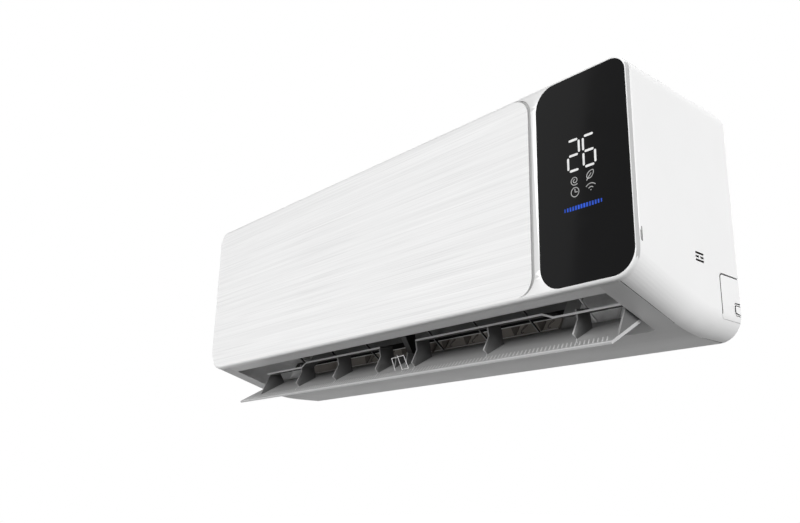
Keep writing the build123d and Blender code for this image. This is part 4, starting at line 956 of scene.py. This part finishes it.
@dataclass
class Outlet:
    """Underside with the louver's recess, and the pieces in the duct, in casing millimetres."""

    # To the right of the middle, or to both sides of it for a half.
    nub_xs: tuple[float, ...] = (-258.6, -176.8, -95.0, 108.5, 190.2, 272.0)
    recess_half: float = 387.0
    duct_half: float = 386.0
    duct_left: float = -330.0
    chassis_half: float = 342.0
    side_line: float = 414.7
    rail_ends: Pair = (-340.0, 236.0)
    end_shade: float = 262.0
    mark_start: float = 157.0
    mark_pitch: float = 46.0
    mark_margin: float = 10.0
    hook_shift: float = 17.0
    hook_margin: float = 8.0
    # Behind the front face.
    lip_edge: float = 21.8
    rear_edge: float = 112.0
    duct_span: Pair = (21.0, 190.0)
    duct_back: float = 70.0
    chassis_span: Pair = (100.0, 180.0)
    # Behind the front face and over the underside.
    nub_place: Pair = (25.0, 38.2)
    rebate_end: Pair = (32.0, 44.0)
    # Up the rear wall from its lower edge, and for the vane also off the wall.
    rail_span: Pair = (22.5, 49.5)
    blade_line: float = 60.0
    hook_height: float = 38.5
    vane_foot: Pair = (25.0, 2.5)
    vane_tip: Pair = (34.5, 56.0)
    # Sizes, heights and the wall's slope.
    nub_size: Triple = (5.0, 3.0, 2.0)
    mark_height: float = 1.3
    rail_thickness: float = 4.0
    vane_depth: float = 2.6
    within: float = 0.6
    duct_roof: float = 50.0
    floor_rise: float = math.radians(62.6)
    # The vane that the photograph doesn't show keeps the wall's colour.
    plain_vane: str = "vane_right_4"

    @staticmethod
    def underside(behind: float) -> float:
        """Height of the slanted underside at a depth behind the front."""
        return max(SLANT_HEIGHT - math.tan(SLANT) * behind, 0.0)

    def floor(self, x: float, along: float, rise: float) -> Vector:
        """Place on the outlet's rear wall.

        Args:
            x: Millimetres to the right of the middle.
            along: Millimetres up the wall from its lower edge.
            rise: Millimetres off the wall, into the duct.

        Returns:
            The place in metres.
        """
        ahead, up = math.cos(self.floor_rise), math.sin(self.floor_rise)
        return at(x, self.rear_edge + along * ahead - rise * up,
                  self.underside(self.rear_edge) + along * up + rise * ahead)

    def build(self) -> None:
        """Dress the underside and its recess, and build what is seen in the duct."""
        self.housing()
        self.chassis()
        self.nubs()
        self.trim()
        for side in Side:
            self.rail(side)
            dress_node(f"vane_link_{side.name.lower()}", VANE_DARK)
            for number in range(1, 5):
                self.vane(f"vane_{side.name.lower()}_{number}")
        dress_node("louver_support", VANE_DARK)
        dress_node("louver_motor", MOTOR_GREY)

    def housing(self) -> None:
        """Copy the underside in a painted shade of white, with painted shade on its lip, rebate and
        duct, and a pale recess.
        """
        # Painted shade: the underside's white is darker than the casing's, for the dimmer light
        # under it.
        skin = Skin("outlet_housing", "casing", UNDER_SHADED_WHITE)
        for x in (-self.recess_half, self.rail_ends[1], self.recess_half):
            skin.cut(at(x, 0, 0), Vector((1, 0, 0)))
        top = self.floor(0, self.rail_span[1], 0)
        way = (top - self.floor(0, 0, 0)).normalized()
        skin.cut(top, way)
        near, rear = self.duct_span
        far, high = self.rebate_end

        def on_lip(centre: Vector, normal: Vector) -> bool:
            """Whether a face is on the lip in front of the louver."""
            return (abs(centre.x) < self.recess_half and centre.y < self.lip_edge + 0.2
                    and centre.z < self.underside(centre.y) + self.within)

        def in_rebate(centre: Vector, normal: Vector) -> bool:
            """Whether a face is in the rebate behind the lip."""
            return (abs(centre.x) < self.duct_half and self.lip_edge - 0.5 < centre.y < far
                    and self.underside(centre.y) + self.within < centre.z < high)

        def in_duct(centre: Vector, normal: Vector) -> bool:
            """Whether a face is inside the outlet."""
            return (abs(centre.x) < self.duct_half and near < centre.y < rear
                    and centre.z > self.underside(centre.y) + self.within
                    and not (centre.y > self.rear_edge - 1 and normal.z < -0.9))
        # Painted shade: the lip gets a grey tone of the white, between the casing's white and the
        # underside's.
        skin.paint(LIP_STRIP_SHADE, on_lip)
        skin.paint(RECESS_PALE, in_duct)
        # Painted shade: the duct's downward faces and roof are grey, and its rear wall above the
        # rail is darker still.
        skin.paint(DUCT_SHADE, lambda centre, normal: (
            in_duct(centre, normal) and self.duct_left < centre.x < self.rail_ends[1]
            and (normal.z < -0.3 or centre.z > self.duct_roof)))
        skin.paint(DUCT_DARK, lambda centre, normal: (
            in_duct(centre, normal) and normal.y < -0.5 and centre.x < self.rail_ends[1]
            and centre.y > self.duct_back and (at(*centre) - top).dot(way) > 0))
        # Painted shade: the rebate behind the lip is dark grey.
        skin.paint(LIP_SHADE, in_rebate)
        # Painted shade: the seam's chamfer is dark, for the shade in the gap.
        skin.chamfer(TRIM_LINE, 0.9, lambda place: (
            abs(abs(place.x) - self.side_line) < 0.4
            and place.z < self.underside(place.y) + 0.4))
        skin.place()

    def wall_way(self) -> Vector:
        """Direction up the rear wall."""
        return (self.floor(0, 1, 0) - self.floor(0, 0, 0)).normalized()

    def up_wall(self, place: Vector) -> float:
        """Millimetres up the rear wall of a place in casing millimetres."""
        return ((place.y - self.rear_edge) * math.cos(self.floor_rise)
                + (place.z - self.underside(self.rear_edge)) * math.sin(self.floor_rise))

    def chassis(self) -> None:
        """Copy the fan's housing and paint shade on the duct's wall, darkest just above the vane
        rail.
        """
        skin = Skin("rear_chassis", "casing", INNER_PLASTIC)
        dark, right = self.rail_span[1], self.rail_ends[1]
        for along in (dark, self.blade_line):
            skin.cut(self.floor(0, along, 0), self.wall_way())
        for x in (right, self.end_shade):
            skin.cut(at(x, 0, 0), Vector((1, 0, 0)))
        near, far = self.chassis_span
        # Painted shade on the wall: grey above the blade line, darkest between rail and blade line,
        # mid grey from the rail's right end, and the pale wall tone further right.
        for finish, test in (
                (LIP_SHADE, lambda centre: self.up_wall(centre) > self.blade_line),
                (DUCT_DARK, lambda centre: dark < self.up_wall(centre) < self.blade_line),
                (FLAP_AND_WALL_SHADE, lambda centre: centre.x > right),
                (RECESS_PALE, lambda centre: centre.x > self.end_shade)):
            skin.paint(finish, lambda centre, normal: (
                normal.y < -0.4 and abs(centre.x) < self.chassis_half
                and near < centre.y < far and test(centre)))
        skin.place()

    def nubs(self) -> None:
        """Small blocks in the rebate behind the lip."""
        piece = Piece("lip_nubs", "casing", TRIM_LINE)
        for x in self.nub_xs:
            piece.bar(at(x, *self.nub_place), self.nub_size, round_edges=0.5)
        piece.finish_up()

    def trim(self) -> None:
        """Light edge behind the outlet."""
        piece = Piece("outlet_rear_edge", "casing", RAIL_LIGHT)
        behind = self.rear_edge + 0.8
        piece.bar(at(0, behind, self.underside(behind) + 0.1), (2 * self.recess_half, 1.3, 0.5),
                  Matrix.Rotation(-SLANT, 4, "X"), round_edges=0.12)
        piece.finish_up()

    def rail(self, side: Side) -> None:
        """Strip that carries the vanes, with its triangular and hooked relief and light ledges.

        Args:
            side: Half of the unit.
        """
        name = side.name.lower()
        ends = sorted((side.value * 2.0, self.rail_ends[0 if side is Side.LEFT else 1]))
        middle_x, length = sum(ends) / 2, ends[1] - ends[0]
        turn = Matrix.Rotation(self.floor_rise, 4, "X")
        low, high = self.rail_span
        strip = Piece(f"vane_rail_{name}_strip", "casing", RAIL_BROWN)
        strip.bar(self.floor(middle_x, (low + high) / 2, -self.rail_thickness / 2),
                  (length, high - low, self.rail_thickness), turn, round_edges=0.3)
        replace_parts(strip.finish_up(), f"vane_rail_{name}")
        marks = Piece(f"vane_rail_{name}_relief", "casing", RELIEF_DARK)
        count = int(-self.rail_ends[0] / self.mark_pitch)
        for k in range(-count, count + 1):
            x = self.mark_start + k * self.mark_pitch
            if ends[0] + self.mark_margin < x < ends[1] - self.mark_margin:
                self.triangle(marks, x)
            x += self.hook_shift
            if ends[0] + self.hook_margin < x < ends[1] - self.hook_margin:
                self.hook(marks, x)
        marks.finish_up()
        ledges = Piece(f"duct_ledges_{name}", "casing", RAIL_LIGHT)
        for along, width in ((high - 1.6, 1.0), (low + 7.4, 0.8), (low + 4.0, 0.6)):
            ledges.bar(self.floor(middle_x, along, 0.5), (length, width, 1.0), turn,
                       round_edges=0.2)
        ledges.finish_up()

    def triangle(self, piece: Piece, x: float) -> None:
        """Add a raised triangle that points down the wall.

        Args:
            piece: Piece that gets it.
            x: Its middle.
        """
        outline = [piece.mesh.verts.new(self.floor(x + dx, along, 0.0))
                   for dx, along in ((-8, 45.5), (7.5, 45.5), (6.5, 31.5), (4.0, 31.0))]
        raise_faces(piece.mesh, [piece.mesh.faces.new(outline)],
                    self.floor(0, 0, self.mark_height) - self.floor(0, 0, 0))

    def hook(self, piece: Piece, x: float) -> None:
        """Add a raised hook, a slanted open loop, to the relief.

        Args:
            piece: Piece that gets it.
            x: Its middle.
        """
        loop = [(-3.6, -1.0), (1.0, 2.0), (4.6, 6.4), (2.2, 7.6), (-1.8, 3.0), (-3.4, -3.0),
                (-1.0, -6.4), (2.4, -4.6)]
        data = wire_mesh("hook", [(loop, False)], 1.5)
        data.transform(Matrix.Translation(self.floor(x, self.hook_height, 0.3))
                       @ Matrix.Rotation(self.floor_rise - math.pi / 2, 4, "X"))
        piece.mesh.from_mesh(data)
        bpy.data.meshes.remove(data)

    def vane(self, node: str) -> None:
        """Dress a guide vane, with a painted highlight on its front edge.

        Args:
            node: Name of the vane's node.
        """
        down = -self.wall_way()
        low, high = self.floor(0, *self.vane_foot), self.floor(0, *self.vane_tip)
        square = Vector((1, 0, 0)).cross((high - low).normalized())
        if square.dot(down) > 0:
            square.negate()
        last = node == self.plain_vane
        skin = Skin(node, node, RECESS_PALE if last else VANE_DARK)
        skin.cut(low + square * (self.vane_depth * 0.001), square, away=True)
        # Painted highlight: the vane's front edge is a lighter grey.
        skin.paint(VANE_EDGE_HIGHLIGHT, lambda centre, normal: (
            not last and abs(normal.x) < 0.4 and normal.dot(down) > 0.6 and centre.z > 32))
        skin.place()


@dataclass
class Louver:
    """Main louver blade, its two upper blades, ribs and grip lines, drawn open, in casing
    millimetres. Lengths along the blade are counted from its front edge."""

    front: Pair = (31.3, -19.2)
    opened: float = math.radians(29.24)
    thickness: float = 3.6
    grip_pitch: float = 6.1
    grip_span: Pair = (5.0, 18.5)
    grip_slant: float = 7.5
    reach: float = 377.0
    band: float = 1.8
    grip_width: float = 1.7
    tail_side: float = 12.0
    tail_width: float = 0.8
    wire_width: float = 0.9
    tail_ends: Pair = (29.6, 13.0)
    rib_fronts: Pair = (36.0, 62.0)
    rib_xs: tuple[float, ...] = (-243.0, -142.0, -39.0, 41.0, 178.0, 318.0)

    def on(self, x: float, along: float, rise: float) -> Vector:
        """Place on the open blade.

        Args:
            x: Millimetres to the right of the middle.
            along: Millimetres behind the blade's front edge, along it.
            rise: Millimetres over its outer face.

        Returns:
            The place in metres.
        """
        turn = self.opened
        return at(x, self.front[0] + along * math.cos(turn) - rise * math.sin(turn),
                  self.front[1] + along * math.sin(turn) + rise * math.cos(turn))

    def build(self) -> None:
        """Dress the blades and add what stands on them."""
        self.main_blade()
        for node in ("upper_louver_left", "upper_louver_right"):
            # Painted shade: the upper blades are dark grey except for their front-facing faces.
            skin = Skin(node, "louver", BLADE_SHADE)
            skin.paint(BLADE_LIGHT, lambda centre, normal: normal.y < -0.5)
            skin.place()
        self.grip()
        self.tails()
        self.bracket()

    def main_blade(self) -> None:
        """Copy the main blade, and paint shade on its inside, its front band and its ribs."""
        up = (self.on(0, 0, 1) - self.on(0, 0, 0)).normalized()
        way = (self.on(0, 1, 0) - self.on(0, 0, 0)).normalized()
        skin = Skin("main_louver", "louver", LOUVER_WHITE)
        skin.cut(self.on(0, self.band, 0), way)
        near, far = self.rib_fronts

        def inside(centre: Vector, normal: Vector) -> bool:
            """Whether a face is on the blade's inside, behind its front band, which is painted
            lighter.
            """
            along = (centre.y - self.front[0]) * way.y + (centre.z - self.front[1]) * way.z
            return normal.dot(up) > 0.8 and along > self.band

        def rib_face(centre: Vector, normal: Vector) -> bool:
            """Whether a face is a side of a rib."""
            rise = (centre.y - self.front[0]) * up.y + (centre.z - self.front[1]) * up.z
            return abs(normal.x) > 0.9 and rise > self.thickness + 0.2

        def rib_front(centre: Vector, normal: Vector) -> bool:
            """Whether a face is the front edge of a rib."""
            return (normal.y < -0.25 and abs(normal.x) < 0.5 and normal.dot(up) < 0.8
                    and near < centre.y < far and centre.z > -8 and centre.x > -340)
        # Painted shade: one white blade gets grey tones for the light each face gets, darkest on
        # the rib sides.
        skin.paint(FLAP_EDGE_SHADE, lambda centre, normal: normal.dot(up) > -0.5)
        skin.paint(FLAP_AND_WALL_SHADE, inside)
        skin.paint(RIB_SIDE_SHADE, rib_face)
        skin.paint(RIB_EDGE, rib_front)
        skin.paint(RIB_FOOT_SHADE, lambda centre, normal: rib_front(centre, normal)
                   and normal.z < -0.1)
        skin.place()

    def grip(self) -> None:
        """Short raised lines across the blade, just behind its front edge."""
        # Painted shade: the ridges are grey, lighter than the blade's painted inside.
        piece = Piece("louver_grip_lines", "louver", GRIP_RIDGE_SHADE)
        near, far = self.grip_span
        low = self.thickness - 0.5
        for k in range(int((2 * self.reach - self.grip_slant) / self.grip_pitch) + 1):
            x = -self.reach + k * self.grip_pitch
            self.strut(piece, self.on(x, far, low), self.on(x + self.grip_slant, near, low),
                       self.grip_width)
        piece.finish_up()

    def tails(self) -> None:
        """Low light ridges that run from each rib's foot towards the front edge."""
        piece = Piece("louver_rib_tails", "louver", RIB_EDGE)
        foot, tip = self.tail_ends
        rise = self.thickness + 0.3
        for x in self.rib_xs:
            self.strut(piece, self.on(x, foot, rise), self.on(x + self.tail_side, tip, rise),
                       self.tail_width)
        piece.finish_up()

    def bracket(self) -> None:
        """Light wire-thin frame in the middle, with three posts and two crossbars."""
        piece = Piece("louver_middle_bracket", "louver", RIB_EDGE)
        corners = {"left_top": at(0.7, 47.0, 13.1), "left_low": at(2.5, 52.3, -3.6),
                   "middle_top": at(13.8, 46.2, 15.6), "middle_low": at(17.7, 52.2, -3.5),
                   "right_top": at(26.8, 46.6, 14.4), "right_low": at(31.3, 52.2, -3.3),
                   "foot": self.on(28.5, 14.4, self.thickness)}
        for start, end in (("left_top", "left_low"), ("middle_top", "middle_low"),
                           ("right_top", "right_low"), ("left_top", "right_top"),
                           ("middle_low", "right_low"), ("middle_low", "foot")):
            self.strut(piece, corners[start], corners[end], self.wire_width)
        piece.finish_up()

    @staticmethod
    def strut(piece: Piece, start: Vector, end: Vector, width: float) -> None:
        """Add a square strut between two places.

        Args:
            piece: Piece that gets it.
            start: One end, in metres.
            end: The other end, in metres.
            width: Its width, in millimetres.
        """
        span = end - start
        piece.bar((start + end) / 2, (width, width, span.length * 1000 + width),
                  span.to_track_quat("Z", "Y").to_matrix().to_4x4(), round_edges=0.25)


# ------------------------------------------------------------------ inside

@dataclass
class Inside:
    """Fan, coil, pipes, electrical parts, filters and wall plate."""

    def build(self) -> None:
        """Dress every inner node in its own finish."""
        plan: dict[Finish, tuple[str, ...]] = {
            FAN_DARK: ("fan_wheel",),
            STEEL: ("fan_shaft", "button_spring", "screw_left", "screw_right"),
            RUBBER_BLACK: ("fan_bearing",),
            MOTOR_GREY: ("fan_motor",),
            INNER_PLASTIC: ("motor_clamp", "drain_pan", "control_box", "control_lid"),
            BOARD_GREEN: ("control_board",),
            TERMINAL_CREAM: ("terminal_block",),
            GALVANISED: ("wall_plate", "tube_sheet_left", "tube_sheet_right"),
            ALUMINIUM: ("coil_front", "coil_upper", "coil_rear"),
            COPPER: ("gas_pipe", "liquid_pipe", *(f"return_bend_{k}" for k in range(1, 6))),
            BRASS: ("gas_nut", "liquid_nut"),
            HOSE_GREY: ("drain_hose",),
            FILTER_GREY: ("filter_left", "filter_right"),
            NET_DARK: ("filter_net_left", "filter_net_right"),
            RECESS_GREY: ("emergency_button",),
        }
        for finish, nodes in plan.items():
            for node in nodes:
                dress_node(node, finish)


# ------------------------------------------------------------------ studio

@dataclass
class Studio:
    """Camera, lamps, floor and world of a plain pale studio, in metres."""

    eye: Triple = (0.8694, -0.8654, -0.3214)
    ahead: Triple = (-0.6936, 0.6680, 0.2699)
    lens: float = 36.21
    shift: Pair = (-0.0745, 0.011)
    ambient: float = 0.21
    floor_height: float = -1.5
    lamps: tuple[tuple[str, Triple, float, float], ...] = (
        ("front_high", (0.00, -0.94, 0.34), 1.86, 30.0),
        ("right", (0.97, -0.12, 0.14), 2.55, 16.0),
    )
    low_box: tuple[Triple, Triple, float, float] = (
        (0.15, -2.45, -1.10), (0.0, -0.10, -0.05), 0.7, 11.0)
    card_edge: tuple[Pair, Pair] = ((-2.114, 0.0), (-2.537, 2.4))
    card_distance: float = -1.2
    card_reach: float = -4.5
    card_glow: float = 0.55
    floor_glow: float = 0.86
    floor_matt: float = 0.33
    floor_dim: float = 0.10

    def build(self) -> None:
        """Make the studio."""
        self.camera()
        self.light()
        self.card()
        self.floor()
        self.world()
        bpy.context.scene.view_settings.view_transform = "Standard"

    def camera(self) -> None:
        """Camera at the photograph's angle."""
        data = bpy.data.cameras.new("camera")
        data.lens = self.lens
        data.sensor_width = 36.0
        data.shift_x, data.shift_y = self.shift
        data.clip_start, data.clip_end = 0.01, 100.0
        camera = new_object("camera", data)
        camera.location = self.eye
        camera.rotation_euler = Vector(self.ahead).to_track_quat("-Z", "Y").to_euler()
        bpy.context.scene.camera = camera

    def light(self) -> None:
        """Soft lamps high in front and at the right, and a soft box low in front."""
        for name, toward, strength, spread in self.lamps:
            data = bpy.data.lights.new(name, "SUN")
            data.energy = strength
            data.angle = math.radians(spread)
            lamp = new_object(name, data)
            lamp.rotation_euler = Vector(toward).to_track_quat("Z", "Y").to_euler()
        place, aim, size, power = self.low_box
        data = bpy.data.lights.new("front_low", "AREA")
        data.size, data.energy = size, power
        box = new_object("front_low", data)
        box.location = place
        box.rotation_euler = (Vector(place) - Vector(aim)).to_track_quat("Z", "Y").to_euler()
        box.visible_camera = False
        box.visible_glossy = False

    def card(self) -> None:
        """Grey card at the far left that only the glass reflects, as a soft upright band."""
        mesh = bmesh.new()
        corners = [(self.card_distance, y, z) for y, z in self.card_edge]
        corners += [(self.card_distance, self.card_reach, z) for _, z in reversed(self.card_edge)]
        mesh.faces.new([mesh.verts.new(corner) for corner in corners])
        card, tree = self.stage_piece("grey_card", mesh, "card_grey")
        for ray in ("camera", "diffuse", "transmission", "shadow", "volume_scatter"):
            setattr(card, f"visible_{ray}", False)
        glow = add_node(tree, "ShaderNodeEmission", values={"Color": grey(self.card_glow)})
        add_node(tree, "ShaderNodeOutputMaterial", links={"Surface": glow.outputs[0]})

    @staticmethod
    def stage_piece(name: str, work: BMesh, material: str) -> tuple[Object, NodeTree]:
        """Make a piece of the studio with a material of its own.

        Args:
            name: Name of the piece.
            work: Its shape.
            material: Name of its material.

        Returns:
            The piece, and its material's empty node tree.
        """
        made = bpy.data.materials.new(material)
        data = new_mesh(name, work)
        data.materials.append(made)
        return new_object(name, data), empty_tree(made)

    @staticmethod
    def seen_directly(tree: NodeTree) -> NodeSocket:
        """Whether the camera sees the surface, straight, in a reflection or through glass.

        Args:
            tree: Node tree of the floor or the world.

        Returns:
            An output that is one for such rays.
        """
        path = add_node(tree, "ShaderNodeLightPath")
        straight = maths(tree, "MAXIMUM", path.outputs["Is Camera Ray"],
                         path.outputs["Is Glossy Ray"])
        return maths(tree, "MAXIMUM", straight, path.outputs["Is Transmission Ray"])

    def floor(self) -> None:
        """Wide pale floor that keeps the unit's soft shadow."""
        mesh = bmesh.new()
        bmesh.ops.create_grid(mesh, x_segments=1, y_segments=1, size=40.0,
                              matrix=Matrix.Translation((0, 0, self.floor_height)))
        floor, tree = self.stage_piece("floor", mesh, "floor_pale")
        glow = add_node(tree, "ShaderNodeEmission", values={"Color": grey(self.floor_glow)})
        matt = add_node(tree, "ShaderNodeBsdfDiffuse", values={"Color": grey(self.floor_matt)})
        pale = add_node(tree, "ShaderNodeAddShader",
                        links={0: glow.outputs[0], 1: matt.outputs[0]})
        dim = add_node(tree, "ShaderNodeBsdfDiffuse", values={"Color": grey(self.floor_dim)})
        mix = add_node(tree, "ShaderNodeMixShader", links={
            "Fac": self.seen_directly(tree), 1: dim.outputs[0], 2: pale.outputs[0]})
        add_node(tree, "ShaderNodeOutputMaterial", links={"Surface": mix.outputs[0]})

    def world(self) -> None:
        """White behind the unit, and a plain dimmer light on it from all sides."""
        world = bpy.data.worlds.new("studio")
        tree = empty_tree(world)
        white, soft = (add_node(tree, "ShaderNodeBackground",
                                values={"Color": grey(1.0), "Strength": strength})
                       for strength in (1.0, self.ambient))
        mix = add_node(tree, "ShaderNodeMixShader", links={
            "Fac": self.seen_directly(tree), 1: soft.outputs[0], 2: white.outputs[0]})
        add_node(tree, "ShaderNodeOutputWorld", links={"Surface": mix.outputs[0]})
        bpy.context.scene.world = world


def main() -> None:
    """Build the unit's looks and the studio round it."""
    logging.basicConfig(level=logging.INFO, format="%(name)s: %(message)s")
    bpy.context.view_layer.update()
    for part in (Casing(), FrontCover(), Display(), Outlet(), Louver(), Inside(), Studio()):
        part.build()
        LOG.info("built %s", type(part).__name__)


if __name__ == "__main__":
    main()
